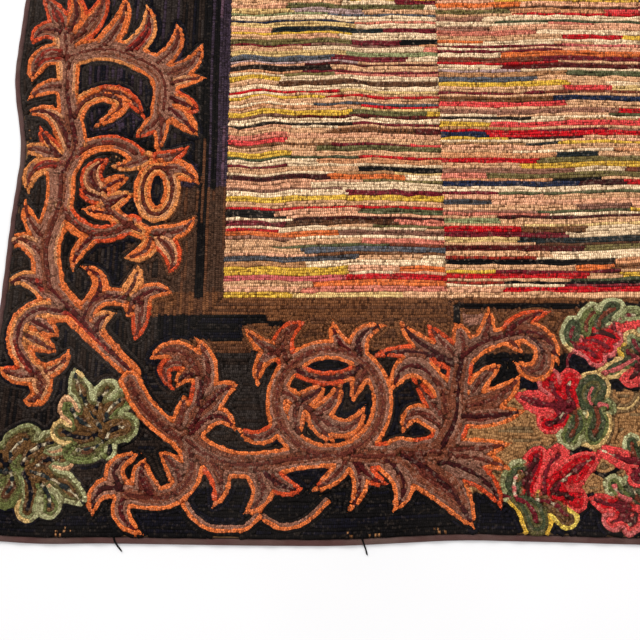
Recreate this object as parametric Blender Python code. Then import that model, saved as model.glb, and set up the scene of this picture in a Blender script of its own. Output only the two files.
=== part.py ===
# Hooked rug: one flat sheet of looped wool on a woven ground, with a cotton tape sewn round its edge.
# Units are metres, +Z is up, and the origin is on the floor under the middle of the rug.
# X runs across the rug and Y along it.

import bmesh
import bpy
import numpy as np

# Driving sizes
FIELD_WIDTH = 1.210         # striped middle, across
FIELD_LENGTH = 2.110        # striped middle, along
SIDE_BORDER = 0.305         # border beside the long sides
END_BORDER = 0.323          # border across the ends
PILE_TOP = 0.0076           # floor to the tops of the loops
PILE_ROUND = 0.0030         # how far the outermost loops lean over the tape
TAPE_SHOWS = 0.0080         # width of tape that can be seen outside the loops
TAPE_UNDER = 0.0240         # width of tape sewn flat under the rug
TAPE_THICK = 0.0010
TAPE_ROLL = 0.0046          # height of the tape where it folds over the raw edge
SEWN_GAP = 0.0003           # left between pieces that are sewn face to face
STATION = 0.045             # length of one straight step along an edge
EDGE_BLUR = 0.030           # reach of the smoothing that rounds the pulls of an edge

HALF_WIDTH = FIELD_WIDTH / 2 + SIDE_BORDER
HALF_LENGTH = FIELD_LENGTH / 2 + END_BORDER

# How far a hand-made edge is pulled out (+) or drawn in (-) from a straight line.
# Each row: place along the edge, outset.
EDGE_PULLS = {
    "front": ((-0.915, -0.0050), (-0.879, -0.0030), (-0.828, 0.0010), (-0.760, -0.0005),
              (-0.563, 0.0025), (-0.449, 0.0032), (-0.297, -0.0045), (-0.171, -0.0015),
              (-0.050, 0.0020), (0.180, -0.0030), (0.420, 0.0030), (0.650, -0.0020), (0.915, 0.0010)),
    "right": ((-1.380, 0.0080), (-1.150, -0.0040), (-0.870, 0.0050), (-0.600, -0.0060),
              (-0.250, 0.0040), (0.120, -0.0050), (0.480, 0.0060), (0.820, -0.0070),
              (1.130, 0.0020), (1.380, 0.0100)),
    "back": ((-0.915, 0.0010), (-0.640, -0.0030), (-0.380, 0.0030), (-0.090, -0.0025),
             (0.230, 0.0020), (0.520, -0.0035), (0.760, 0.0015), (0.915, -0.0030)),
    "left": ((-1.380, 0.0105), (-1.200, 0.0030), (-1.040, -0.0030), (-0.940, -0.0050),
             (-0.833, -0.0115), (-0.725, 0.0105), (-0.520, 0.0020), (-0.200, -0.0070),
             (0.140, 0.0040), (0.480, -0.0040), (0.800, 0.0060), (1.100, -0.0060), (1.380, 0.0070)),
}
SIDES = ("front", "right", "back", "left")


def pull(side, along):
    """Outset of one edge at a place along it, with the kinks of the table rounded off."""
    places, outsets = np.array(EDGE_PULLS[side]).T
    reach = np.linspace(-EDGE_BLUR, EDGE_BLUR, 7)
    return float(np.mean(np.interp(along + reach, places, outsets)))


def side_line(side, along, inset):
    """Distance of an edge from the rug's middle line, less an inset."""
    half = HALF_LENGTH if side in ("front", "back") else HALF_WIDTH
    return half + pull(side, along) - inset


def corner(end, flank, inset):
    """Where two inset edges cross: end is front or back, flank is left or right."""
    x_sign = 1 if flank == "right" else -1
    y_sign = 1 if end == "back" else -1
    x, y = x_sign * HALF_WIDTH, y_sign * HALF_LENGTH
    for _ in range(4):
        x = x_sign * side_line(flank, y, inset)
        y = y_sign * side_line(end, x, inset)
    return x, y


def side_points(side, inset, trim=0.0):
    """Points of one inset edge from corner to corner, going round the rug anticlockwise."""
    if side in ("front", "back"):
        first, last = corner(side, "left", inset)[0], corner(side, "right", inset)[0]
        steps = round(2 * HALF_WIDTH / STATION)
    else:
        first, last = corner("front", side, inset)[1], corner("back", side, inset)[1]
        steps = round(2 * HALF_LENGTH / STATION)
    places = np.linspace(first + trim, last - trim, steps + 1)
    if side in ("back", "left"):
        places = places[::-1]
    sign = 1 if side in ("back", "right") else -1
    if side in ("front", "back"):
        return [(p, sign * side_line(side, p, inset)) for p in places]
    return [(sign * side_line(side, p, inset), p) for p in places]


def raw_ring(inset):
    return [point for side in SIDES for point in side_points(side, inset)[:-1]]


def middle(points):
    low, high = np.min(points, axis=0), np.max(points, axis=0)
    return (low + high) / 2


CENTRE = middle(raw_ring(0.0))      # the uneven outline is centred on the origin


def material(name, colour, roughness):
    made = bpy.data.materials.new(name)
    made.use_nodes = True
    shader = made.node_tree.nodes["Principled BSDF"]
    shader.inputs["Base Color"].default_value = (*colour, 1.0)
    shader.inputs["Roughness"].default_value = roughness
    shader.inputs["Metallic"].default_value = 0.0
    return made


def make_object(name, mesh, finish):
    mesh.materials.append(finish)
    made = bpy.data.objects.new(name, mesh)
    bpy.context.scene.collection.objects.link(made)
    return made


def mesh_from(name, build):
    """A named mesh filled by build(bm), with its faces turned outwards."""
    bm = bmesh.new()
    build(bm)
    bmesh.ops.recalc_face_normals(bm, faces=bm.faces)
    mesh = bpy.data.meshes.new(name)
    bm.to_mesh(mesh)
    bm.free()
    return mesh


def skin(bm, loops, closed):
    """Quads between neighbouring loops of vertices. A closed loop joins its last point to its first."""
    for lower, upper in zip(loops, loops[1:]):
        count = len(lower)
        for i in range(count if closed else count - 1):
            j = (i + 1) % count
            bm.faces.new((lower[i], lower[j], upper[j], upper[i]))


def pile_section():
    """Rug body from the middle of its underside, out over the sewn tape, up and in over the rim: inset, height."""
    over_tape = TAPE_THICK + SEWN_GAP
    step = TAPE_SHOWS + TAPE_UNDER + SEWN_GAP
    rim = TAPE_SHOWS + SEWN_GAP
    shoulder = PILE_TOP - PILE_ROUND
    bend = [(rim + PILE_ROUND * (1 - np.cos(a)), shoulder + PILE_ROUND * np.sin(a))
            for a in np.radians((0, 30, 60, 90))]
    return [(step, 0.0), (step, over_tape), (rim, over_tape), *bend]


def build_pile(bm):
    loops = [[bm.verts.new((x - CENTRE[0], y - CENTRE[1], height)) for x, y in raw_ring(inset)]
             for inset, height in pile_section()]
    skin(bm, loops, closed=True)
    bm.faces.new(loops[0][::-1])
    bm.faces.new(loops[-1])


def tape_section():
    """Cotton tape folded over the raw edge, with its flat flap under the rug: inset, height."""
    flap = TAPE_SHOWS + TAPE_UNDER
    half = TAPE_SHOWS / 2
    fold = [(half * (1 - np.cos(a)), TAPE_THICK + (TAPE_ROLL - TAPE_THICK) * np.sin(a))
            for a in np.radians((0, 36, 72, 108, 144))]
    return [(flap, 0.0), (TAPE_THICK / 2, 0.0), *fold,
            (TAPE_SHOWS, TAPE_THICK + (TAPE_ROLL - TAPE_THICK) / 3), (TAPE_SHOWS, TAPE_THICK), (flap, TAPE_THICK)]


def build_tape(side):
    """One length of tape, mitred at both ends."""
    def build(bm):
        lines = [[bm.verts.new((x - CENTRE[0], y - CENTRE[1], height))
                  for x, y in side_points(side, inset, trim=SEWN_GAP)]
                 for inset, height in tape_section()]
        skin(bm, [*lines, lines[0]], closed=False)
        bm.faces.new([line[0] for line in lines])
        bm.faces.new([line[-1] for line in lines][::-1])
    return build


def main():
    for old in list(bpy.data.objects):
        bpy.data.objects.remove(old)
    wool = material("looped_wool", (0.16, 0.10, 0.07), 0.95)
    cotton = material("cotton_tape", (0.20, 0.11, 0.10), 0.90)
    make_object("rug", mesh_from("rug", build_pile), wool)
    for side in SIDES:
        name = f"binding_{side}"
        make_object(name, mesh_from(name, build_tape(side)), cotton)


main()
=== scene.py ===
# %% [markdown]
# # A hooked rug, built row by row
# A hooked rug is wool strips pulled up in small loops through a woven ground, one row beside the
# next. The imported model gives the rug's true outline and thickness. This script adds what a
# visitor sees: about a kilometre of rows that follow the drawing, the woven ground under them
# and the cotton tape round the edge.

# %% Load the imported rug
import math
import time

import bpy
import numpy as np
from mathutils import Matrix, Vector


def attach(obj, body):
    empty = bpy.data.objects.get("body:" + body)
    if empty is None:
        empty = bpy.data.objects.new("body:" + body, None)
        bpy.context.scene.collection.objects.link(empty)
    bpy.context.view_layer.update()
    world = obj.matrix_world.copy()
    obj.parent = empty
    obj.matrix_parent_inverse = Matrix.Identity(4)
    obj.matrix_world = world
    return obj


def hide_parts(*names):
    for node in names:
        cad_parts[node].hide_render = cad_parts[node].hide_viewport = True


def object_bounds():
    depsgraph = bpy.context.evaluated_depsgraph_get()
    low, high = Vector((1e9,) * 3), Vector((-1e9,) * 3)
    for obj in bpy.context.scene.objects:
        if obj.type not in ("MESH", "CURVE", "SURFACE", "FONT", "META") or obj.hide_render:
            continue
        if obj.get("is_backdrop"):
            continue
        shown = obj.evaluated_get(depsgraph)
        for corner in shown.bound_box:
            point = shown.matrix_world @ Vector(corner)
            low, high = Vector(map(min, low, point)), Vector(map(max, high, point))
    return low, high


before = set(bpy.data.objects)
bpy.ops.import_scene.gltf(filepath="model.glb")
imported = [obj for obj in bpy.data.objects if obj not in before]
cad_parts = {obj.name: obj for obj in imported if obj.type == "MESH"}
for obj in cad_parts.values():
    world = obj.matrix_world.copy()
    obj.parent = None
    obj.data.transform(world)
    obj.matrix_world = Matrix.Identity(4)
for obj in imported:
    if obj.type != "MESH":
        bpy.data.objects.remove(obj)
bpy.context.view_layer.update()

STARTED = time.time()

# %% [markdown]
# ## Sizes
# The rug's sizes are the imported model's own driving sizes, repeated here because the rows have to
# meet the same uneven edge. A hand-made edge is never straight: it is pulled out in one place and
# drawn in at another, and a short table of such pulls is enough to describe it.

# %% The rug's sizes and its uneven edge
MM = 0.001
FIELD_WIDTH = 1.210
FIELD_LENGTH = 2.110
SIDE_BORDER = 0.305
END_BORDER = 0.323
TAPE_SHOWS = 0.0080
TAPE_UNDER = 0.0240
TAPE_THICK = 0.0010
TAPE_ROLL = 0.0046
SEWN_GAP = 0.0003
STATION = 0.045
EDGE_BLUR = 0.030
BLUR_PROBES = 7
HALF_WIDTH = FIELD_WIDTH / 2 + SIDE_BORDER
HALF_LENGTH = FIELD_LENGTH / 2 + END_BORDER

# Each row: place along the edge, outset.
EDGE_PULLS = {
    "front": ((-0.915, -0.0050), (-0.879, -0.0030), (-0.828, 0.0010), (-0.760, -0.0005),
              (-0.563, 0.0025), (-0.449, 0.0032), (-0.297, -0.0045), (-0.171, -0.0015),
              (-0.050, 0.0020), (0.180, -0.0030), (0.420, 0.0030), (0.650, -0.0020), (0.915, 0.0010)),
    "right": ((-1.380, 0.0080), (-1.150, -0.0040), (-0.870, 0.0050), (-0.600, -0.0060),
              (-0.250, 0.0040), (0.120, -0.0050), (0.480, 0.0060), (0.820, -0.0070),
              (1.130, 0.0020), (1.380, 0.0100)),
    "back": ((-0.915, 0.0010), (-0.640, -0.0030), (-0.380, 0.0030), (-0.090, -0.0025),
             (0.230, 0.0020), (0.520, -0.0035), (0.760, 0.0015), (0.915, -0.0030)),
    "left": ((-1.380, 0.0105), (-1.200, 0.0030), (-1.040, -0.0030), (-0.940, -0.0050),
             (-0.833, -0.0115), (-0.725, 0.0105), (-0.520, 0.0020), (-0.200, -0.0070),
             (0.140, 0.0040), (0.480, -0.0040), (0.800, 0.0060), (1.100, -0.0060), (1.380, 0.0070)),
}
SIDES = ("front", "right", "back", "left")
SIGN = {"front": -1, "left": -1, "right": 1, "back": 1}


def pull(side, along):
    """Outset of an edge at places along it, with the kinks of the table rounded off."""
    places, outsets = np.array(EDGE_PULLS[side]).T
    reach = np.linspace(-EDGE_BLUR, EDGE_BLUR, BLUR_PROBES)
    return np.mean([np.interp(along + r, places, outsets) for r in reach], axis=0)


def edge_line(side, along, inset=0.0):
    """Distance of an edge from the rug's middle line, less an inset."""
    half = HALF_LENGTH if side in ("front", "back") else HALF_WIDTH
    return half + pull(side, along) - inset


def corner(end, flank, inset=0.0):
    """Where two inset edges cross."""
    x, y = SIGN[flank] * HALF_WIDTH, SIGN[end] * HALF_LENGTH
    for _ in range(4):
        x = SIGN[flank] * edge_line(flank, y, inset)
        y = SIGN[end] * edge_line(end, x, inset)
    return float(x), float(y)


def side_points(side, inset, step, trim=0.0):
    """Points of one inset edge from corner to corner, going round the rug anticlockwise."""
    if side in ("front", "back"):
        first, last = corner(side, "left", inset)[0], corner(side, "right", inset)[0]
        steps = round(2 * HALF_WIDTH / step)
    else:
        first, last = corner("front", side, inset)[1], corner("back", side, inset)[1]
        steps = round(2 * HALF_LENGTH / step)
    places = np.linspace(first + trim, last - trim, steps + 1)
    if side in ("back", "left"):
        places = places[::-1]
    across = SIGN[side] * edge_line(side, places, inset)
    return np.column_stack((places, across) if side in ("front", "back") else (across, places))


outline = np.vstack([side_points(side, 0.0, STATION)[:-1] for side in SIDES])
CENTRE = (outline.min(axis=0) + outline.max(axis=0)) / 2
print("outline centred by", CENTRE.round(5))

# %% [markdown]
# ## Camera, floor and light
# The photograph looks down on one corner from a little in front of it. A camera fifteen degrees
# off straight down, with a 50 mm lens, gives the same slight narrowing towards the far side. The
# floor is plain and pale, and one broad lamp with a pale sky gives the soft, even light.

# %% Camera, floor and light
TILT = math.radians(15.3)
LENS_MM = 50.0
CAMERA_REACH = 1.202
AIM = Vector((-0.4744 - CENTRE[0], -1.0846 - CENTRE[1], 0.0))
FLOOR_SIZE = 14.0
SKY_STRENGTH = 0.64


def add_object(name, data):
    made = bpy.data.objects.new(name, data)
    bpy.context.scene.collection.objects.link(made)
    return made


camera = add_object("photo_camera", bpy.data.cameras.new("photo_camera"))
camera.data.lens = LENS_MM
camera.data.sensor_width = 36.0
camera.data.clip_start = 0.02
camera.matrix_world = (Matrix.Translation(AIM) @ Matrix.Rotation(TILT, 4, "X")
                       @ Matrix.Translation((0.0, 0.0, CAMERA_REACH)))
bpy.context.scene.camera = camera
bpy.context.scene.view_settings.view_transform = "Standard"


def soft_lamp(name, place, size, watts, colour):
    lamp = add_object(name, bpy.data.lights.new(name, "AREA"))
    lamp.data.size = size
    lamp.data.energy = watts
    lamp.data.color = colour
    lamp.location = place
    lamp.rotation_euler = (-Vector(place)).to_track_quat("-Z", "Y").to_euler()
    return lamp


soft_lamp("window_light", (-2.6, 2.2, 3.4), 2.4, 180.0, (1.0, 0.98, 0.955))
soft_lamp("room_light", (2.4, -2.6, 3.6), 3.5, 70.0, (0.98, 0.98, 1.0))
world = bpy.data.worlds.new("pale room")
world.use_nodes = True
sky = world.node_tree.nodes["Background"].inputs
sky["Color"].default_value = (0.97, 0.965, 0.98, 1.0)
sky["Strength"].default_value = SKY_STRENGTH
bpy.context.scene.world = world

# %% [markdown]
# ## Wool colours
# The maker used what wool there was, so each name below stands for a family of old clothes. The
# colours are picked one by one. Blender's shaders work in linear light, so each one is converted
# from the usual screen values once, here.

# %% Wool colours
WOOLS = {
    "orange": (230, 116, 56), "flame": (214, 78, 38), "apricot": (230, 142, 78),
    "peach": (218, 148, 100), "taupe": (154, 102, 80), "grey_brown": (132, 88, 70),
    "cocoa": (128, 70, 48), "liver": (104, 46, 34), "brick": (158, 48, 34), "maroon": (86, 26, 24),
    "oxblood": (66, 22, 22), "black": (15, 12, 12), "ink": (16, 14, 22), "dark_brown": (40, 29, 23),
    "plum": (54, 41, 52), "char": (46, 38, 34), "brown": (114, 70, 41), "earth": (92, 56, 35),
    "olive_tan": (161, 115, 71), "khaki": (120, 92, 60), "umber": (72, 48, 34),
    "mauve": (92, 66, 78), "lilac": (184, 150, 142), "cream": (244, 208, 164),
    "oat": (224, 168, 122), "fawn": (186, 130, 84), "blush": (230, 164, 124),
    "straw": (222, 182, 116), "sage": (146, 146, 98), "leaf_green": (108, 112, 62),
    "moss": (102, 94, 54), "bottle": (70, 76, 50), "mint": (176, 172, 124), "bark": (112, 78, 44),
    "blue_black": (36, 42, 42), "coral": (226, 72, 68), "scarlet": (196, 20, 28),
    "wine": (114, 30, 38), "rose": (206, 96, 92), "gold": (226, 176, 62), "lemon": (230, 196, 84),
    "ivory": (222, 202, 164), "red": (192, 28, 32), "salmon": (216, 122, 98),
    "olive": (118, 102, 58), "green": (90, 90, 58), "ash": (72, 70, 72), "navy": (34, 40, 62),
    "slate": (86, 86, 90), "chestnut": (120, 60, 40),
}


def linear(rgb):
    """Screen colour, 0 to 255, to linear light."""
    c = np.array(rgb, float) / 255
    return np.where(c <= 0.04045, c / 12.92, ((c + 0.055) / 1.055) ** 2.4)


WOOL_NAMES = list(WOOLS)
WOOL_LINEAR = np.array([linear(WOOLS[name]) for name in WOOL_NAMES])
WOOL_INDEX = {name: i for i, name in enumerate(WOOL_NAMES)}


def wool_list(names):
    return [WOOL_INDEX[name] for name in names.split()]


# Each finish: the wools of its rows, counted in from the outline, and last those of its vein.
SKINS = {
    "scroll": ("orange orange orange flame orange orange", "taupe grey_brown taupe cocoa",
               "cocoa grey_brown cocoa liver", "grey_brown taupe cocoa", "cocoa liver",
               "liver liver maroon oxblood"),
    "side_scroll": ("orange orange apricot orange flame orange",
                    "apricot taupe orange taupe peach taupe",
                    "taupe cocoa brick taupe", "taupe grey_brown cocoa", "liver cocoa brick",
                    "maroon liver maroon liver"),
    "green": ("sage mint sage leaf_green", "leaf_green moss leaf_green", "bark moss bark",
              "bark earth bark", "bark", "blue_black ink blue_black"),
    "green_cream": ("oat straw mint", "leaf_green sage moss", "bark moss bark", "bark earth",
                    "bark", "blue_black ink blue_black"),
    "autumn_green": ("mint straw mint sage", "leaf_green sage bottle leaf_green",
                     "bottle leaf_green bottle", "bottle moss bark", "bottle", "wine chestnut rose"),
    "autumn_yellow": ("gold lemon gold", "moss bark leaf_green", "bottle bark", "bottle moss", "bottle",
                      "wine rose wine"),
    "red": ("coral coral rose", "scarlet coral scarlet wine", "wine scarlet wine", "wine maroon", "wine",
            "wine oxblood wine"),
}
SKIN_NAMES = list(SKINS)
SKIN_WOOLS = [[wool_list(names) for names in SKINS[skin]] for skin in SKIN_NAMES]
print("wools", len(WOOLS), "finishes", len(SKINS))

# %% [markdown]
# ## The drawing: strokes
# Leafy scrolls are a traditional border. Like a brush drawing, every stem and lobe is one stroke:
# a centre line with a half width that swells and runs out. A stem's table row holds its two half
# widths and the points it passes. A lobe's row holds its half width, root, bend and tip. All are in
# millimetres from the rug's corner: in from the long side, then in from the end.

# %% Strokes
STROKE_STEP = 5.0
# How much wider each form is hooked than its half width in the tables.
STEM_FULLNESS = 1.22
LOBE_FULLNESS = 1.38
LEAF_FULLNESS = 1.3
# A pointed lobe: its points, the share of its width at the root, how fast it swells, and two
# powers for how long it stays wide and how sharply it closes.
POINTED_COUNT = 12
POINTED_ROOT, POINTED_SWELL, POINTED_HOLD, POINTED_CLOSE = 0.8, 0.7, 2.3, 0.78
# A round lobe: its points, its root and swell, its bow and its shortest reach.
ROUND_COUNT = 8
ROUND_ROOT, ROUND_SWELL, ROUND_BOW, ROUND_REACH = 0.62, 0.75, 0.12, 0.3
RING_COUNT = 12
RING_ANGLE = 9


class Stroke:
    """A centre line with its half widths, in mm, the finish that it is hooked in, and its form:
    a stem, a round lobe or a lobe with a point."""

    def __init__(self, line, halves, skin, form="stem"):
        self.line = np.array(line, float)
        self.halves = np.array(halves, float)
        self.skin = SKIN_NAMES.index(skin)
        self.form = form


# %% Lines through a few points
def through(points, step=STROKE_STEP):
    """A smooth line through a few points."""
    p = np.array(points, float)
    ends = np.vstack((2 * p[0] - p[1], p, 2 * p[-1] - p[-2]))
    parts = []
    for a, b, c, d in zip(ends, ends[1:], ends[2:], ends[3:]):
        count = max(2, math.ceil(np.linalg.norm(c - b) / step))
        t = np.linspace(0, 1, count, endpoint=False)[:, None]
        parts.append(b + 0.5 * t * (c - a + t * (2 * a - 5 * b + 4 * c - d + t * (3 * (b - c) + d - a))))
    return np.vstack((*parts, p[-1:]))


def lengths(line):
    """Distance run along a line, at each of its points."""
    return np.concatenate(([0.0], np.cumsum(np.linalg.norm(np.diff(line, axis=0), axis=1))))


def bent(root, bend, tip, count):
    """A single bow that leaves its root, passes the bend half way and ends at the tip."""
    root, bend, tip = (np.array(p, float) for p in (root, bend, tip))
    handle = 2 * bend - (root + tip) / 2
    t = np.linspace(0, 1, count)[:, None]
    return (1 - t) ** 2 * root + 2 * t * (1 - t) * handle + t ** 2 * tip


# %% Stems, lobes and rings
def stem(skin, first_half, last_half, *points):
    """A stroke between two half widths, through its points."""
    line = through(points)
    run = lengths(line)
    return Stroke(line, first_half + (last_half - first_half) * run / run[-1], skin)


def lobe(skin, half, root, bend, tip):
    """A pointed lobe: full at a third of its length, and running out to nothing."""
    line = bent(root, bend, tip, POINTED_COUNT)
    t = lengths(line) / lengths(line)[-1]
    swell = np.minimum(1.0, POINTED_ROOT + POINTED_SWELL * t)
    return Stroke(line, half * swell * (1 - t ** POINTED_HOLD) ** POINTED_CLOSE, skin, "pointed")


def round_lobe(skin, half, root, tip):
    """A lobe with a round end, a little bowed to one side."""
    root, tip = np.array(root, float), np.array(tip, float)
    way = tip - root
    reach = max(ROUND_REACH, 1 - half / np.linalg.norm(way))
    side = np.array((-way[1], way[0]))
    line = bent(root, root + way * reach / 2 + side * ROUND_BOW, root + way * reach, ROUND_COUNT)
    t = np.linspace(0, 1, len(line))
    return Stroke(line, half * np.minimum(1.0, ROUND_ROOT + ROUND_SWELL * t), skin, "round")


def ring(skin, half, centre, radii, start, sweep):
    """Part of an ellipse. Angles are in degrees, from the first axis."""
    a = np.radians(np.linspace(start, start + sweep, max(RING_COUNT, int(abs(sweep) / RING_ANGLE))))
    line = np.column_stack((centre[0] + radii[0] * np.cos(a), centre[1] + radii[1] * np.sin(a)))
    return Stroke(line, np.full(len(line), half), skin)


# %% [markdown]
# ### The scroll along the end of the rug
# From the corner a short link runs to a joint with three leaves, a hook turns back under it, and
# the main stem goes on to a ring with a small leaf inside. From the joint below the ring a big
# acanthus frond opens towards the middle of the end.

# %% Tables of the end scroll
# Stems: half width at the start and at the end, then the points they pass.
END_STEMS = (
    (11, 11, (185, 208), (205, 175), (233, 148), (264, 127)),
    (11, 10, (264, 134), (276, 175), (280, 208)),
    (15, 11, (262, 131), (286, 113), (325, 99), (365, 100), (410, 107), (470, 111)),
    (11, 12, (264, 130), (270, 103), (268, 80), (245, 59), (217, 56), (186, 62)),
    (8, 5, (388, 194), (413, 177), (434, 161)),
    (12, 17, (475, 109), (540, 111), (592, 116)),
    (17, 12, (588, 112), (612, 157), (617, 204), (626, 245)),
    (14, 9, (622, 240), (650, 259), (684, 270)),
    (7, 7, (398, 226), (423, 215), (449, 212), (474, 217), (500, 234)),
    (11, 10, (600, 166), (596, 197), (577, 221)),
    (8, 8, (709, 272), (728, 257), (734, 240)),
)
# Lobes: half width, root, bend, tip.
END_LOBES = (
    (8, (250, 146), (256, 168), (257, 189)),
    (11, (277, 183), (287, 228), (270, 266)),
    (12, (276, 216), (246, 249), (210, 237)),
    (7, (257, 232), (230, 225), (243, 195)),
    (8, (275, 212), (259, 217), (247, 199)),
    (16, (266, 144), (297, 187), (326, 202)),
    (11, (264, 133), (299, 162), (325, 143)),
    (11, (289, 109), (309, 77), (300, 46)),
    (12, (348, 95), (363, 66), (341, 37)),
    (11, (362, 90), (389, 71), (413, 68)),
    (10, (258, 76), (247, 98), (228, 114)),
    (12, (222, 60), (207, 82), (210, 104)),
    (10, (186, 65), (172, 93), (202, 112)),
    (10, (186, 65), (155, 66), (147, 33)),
    (9, (188, 61), (184, 35), (210, 12)),
    (8, (386, 250), (360, 256), (334, 281)),
    (11, (392, 236), (388, 268), (416, 288)),
    (8, (392, 245), (361, 238), (353, 201)),
    (8, (380, 148), (356, 133), (329, 145)),
    (8, (478, 248), (459, 265), (453, 290)),
    (10, (490, 236), (490, 268), (522, 284)),
    (8, (507, 226), (489, 212), (479, 180)),
    (9, (405, 180), (424, 188), (442, 203)),
    (9, (428, 164), (450, 178), (462, 206)),
    (10, (434, 160), (470, 146), (494, 174)),
    (8, (426, 166), (436, 145), (453, 129)),
    (10, (409, 182), (403, 158), (411, 136)),
    (8, (470, 103), (452, 82), (425, 65)),
    (8, (477, 104), (487, 73), (472, 40)),
    (8, (483, 104), (501, 83), (522, 74)),
    (13, (512, 110), (542, 79), (530, 41)),
    (22, (540, 110), (592, 77), (629, 20)),
    (13, (588, 102), (641, 83), (665, 44)),
    (10, (594, 111), (644, 105), (680, 92)),
    (11, (594, 117), (638, 119), (681, 125)),
    (9, (636, 192), (653, 214), (676, 230)),
    (12, (628, 175), (669, 187), (700, 215)),
    (12, (618, 162), (662, 162), (702, 168)),
    (7, (597, 158), (580, 181), (558, 212)),
    (10, (592, 147), (560, 166), (544, 140)),
    (8, (612, 229), (563, 247), (504, 242)),
    (10, (612, 234), (570, 259), (543, 289)),
    (9, (618, 238), (597, 263), (580, 285)),
    (12, (624, 236), (626, 263), (617, 287)),
    (9, (648, 256), (660, 279), (663, 307)),
    (9, (682, 269), (708, 291), (744, 303)),
    (11, (684, 270), (730, 271), (752, 232)),
    (6, (684, 267), (697, 255), (705, 246)),
    (12, (582, 217), (552, 228), (531, 196)),
    (11, (734, 246), (722, 221), (694, 233)),
)
END_RING = (13, (448, 181), (70, 70), -90, 360)
# Thin festoons under the scroll are two rows side by side, an orange one below a paler one.
SWAG_WOOLS = ("orange", "taupe")
SWAGS = (
    ((263, 50), (275, 33), (295, 20), (318, 18), (342, 20), (359, 36)),
    ((359, 36), (372, 27), (392, 20), (419, 29), (446, 54)),
)

# %% [markdown]
# ### The scroll along the long side
# This is the same scroll turned about the corner's diagonal, but the maker drew it again by eye:
# its ring is taller and ends in an oval loop, and the lobes on the outside crowd the edge.

# %% Tables of the side scroll
SIDE_STEMS = (
    (15, 8, (70, 336), (113, 293), (148, 257), (190, 217)),
    (16, 16, (69, 335), (59, 392), (65, 423), (73, 465), (71, 505)),
    (15, 12, (71, 500), (88, 545), (79, 591), (69, 636)),
    (12, 11, (88, 303), (57, 306), (35, 288), (32, 260), (47, 233), (62, 217)),
    (9, 8, (189, 418), (168, 429), (146, 446), (131, 470)),
    (11, 9, (117, 290), (127, 313), (145, 324), (172, 322), (197, 315)),
    (12, 15, (71, 632), (68, 680), (60, 730)),
    (14, 15, (68, 690), (110, 702), (150, 696), (198, 670), (212, 640), (211, 602)),
    (9, 10, (84, 548), (84, 588), (96, 618), (120, 630)),
)
SIDE_LOBES = (
    (11, (80, 545), (53, 596), (12, 596)),
    (8, (70, 531), (50, 552), (36, 577)),
    (9, (66, 531), (30, 543), (14, 533)),
    (11, (72, 519), (35, 512), (28, 477)),
    (9, (62, 400), (35, 433), (25, 463)),
    (11, (64, 373), (27, 406), (12, 388)),
    (10, (70, 326), (36, 350), (12, 337)),
    (8, (124, 412), (104, 388), (98, 363)),
    (7, (205, 530), (229, 533), (251, 548)),
    (11, (218, 513), (241, 510), (264, 491)),
    (8, (192, 530), (168, 518), (142, 516)),
    (8, (209, 600), (209, 568), (205, 536)),
    (10, (212, 597), (193, 577), (174, 561)),
    (9, (206, 416), (241, 419), (262, 440)),
    (11, (212, 409), (233, 385), (230, 357)),
    (9, (203, 409), (194, 388), (167, 379)),
    (12, (129, 478), (114, 503), (137, 528)),
    (9, (131, 478), (147, 491), (167, 498)),
    (10, (137, 456), (157, 467), (172, 474)),
    (8, (129, 468), (113, 473), (99, 482)),
    (8, (146, 444), (126, 447), (107, 451)),
    (9, (112, 630), (150, 614), (114, 577)),
    (8, (120, 634), (156, 626), (184, 590)),
    (11, (220, 624), (244, 612), (262, 602)),
    (12, (218, 607), (240, 588), (260, 564)),
    (9, (137, 271), (139, 290), (159, 300)),
    (9, (165, 322), (181, 317), (175, 295)),
    (9, (195, 315), (194, 288), (188, 263)),
    (9, (124, 312), (137, 345), (111, 367)),
    (9, (172, 325), (184, 345), (187, 368)),
    (9, (188, 320), (211, 333), (236, 328)),
    (9, (50, 290), (69, 281), (86, 269)),
    (10, (42, 271), (64, 259), (84, 247)),
    (8, (66, 219), (91, 229), (101, 248)),
    (12, (64, 220), (69, 196), (64, 174)),
    (7, (66, 190), (58, 182), (48, 183)),
    (10, (62, 218), (34, 216), (12, 226)),
    (13, (66, 690), (32, 690), (18, 650)),
    (12, (60, 728), (30, 735), (14, 712)),
    (12, (60, 728), (40, 770), (22, 790)),
    (13, (62, 725), (75, 765), (60, 800)),
    (14, (68, 715), (105, 760), (112, 800)),
    (12, (110, 702), (140, 745), (146, 790)),
    (12, (148, 697), (180, 730), (178, 775)),
    (10, (190, 675), (222, 705), (224, 745)),
    (11, (205, 660), (245, 676), (262, 710)),
    (9, (212, 645), (240, 652), (268, 655)),
    (9, (66, 640), (40, 640), (16, 622)),
)
SIDE_RING = (12, (134, 483), (62, 69), 48, 264)
SIDE_LOOP = (11, (208, 479), (21, 36), 0, 360)
SCROLLS = {"end": ("scroll", END_STEMS, END_LOBES, (END_RING,)),
           "side": ("side_scroll", SIDE_STEMS, SIDE_LOBES, (SIDE_RING, SIDE_LOOP))}


def scroll_strokes(where):
    """All strokes of one scroll, in mm from the corner."""
    skin, stems, lobes, rings = SCROLLS[where]
    strokes = [stem(skin, first * STEM_FULLNESS, last * STEM_FULLNESS, *points)
               for first, last, *points in stems]
    strokes += [lobe(skin, half * LOBE_FULLNESS, *points) for half, *points in lobes]
    return strokes + [ring(skin, *row) for row in rings]


print("strokes in an end scroll", len(scroll_strokes("end")),
      "and in a side scroll", len(scroll_strokes("side")))


# %% [markdown]
# ### Leaves
# The corner holds two green leaves with round lobes. The middle of each border is filled with
# autumn leaves, part red and part green, as if each had been dyed by its own tree. A leaf's row
# holds its finish, its half width, its root and its tip, and the first lobe ends in a point.

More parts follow.
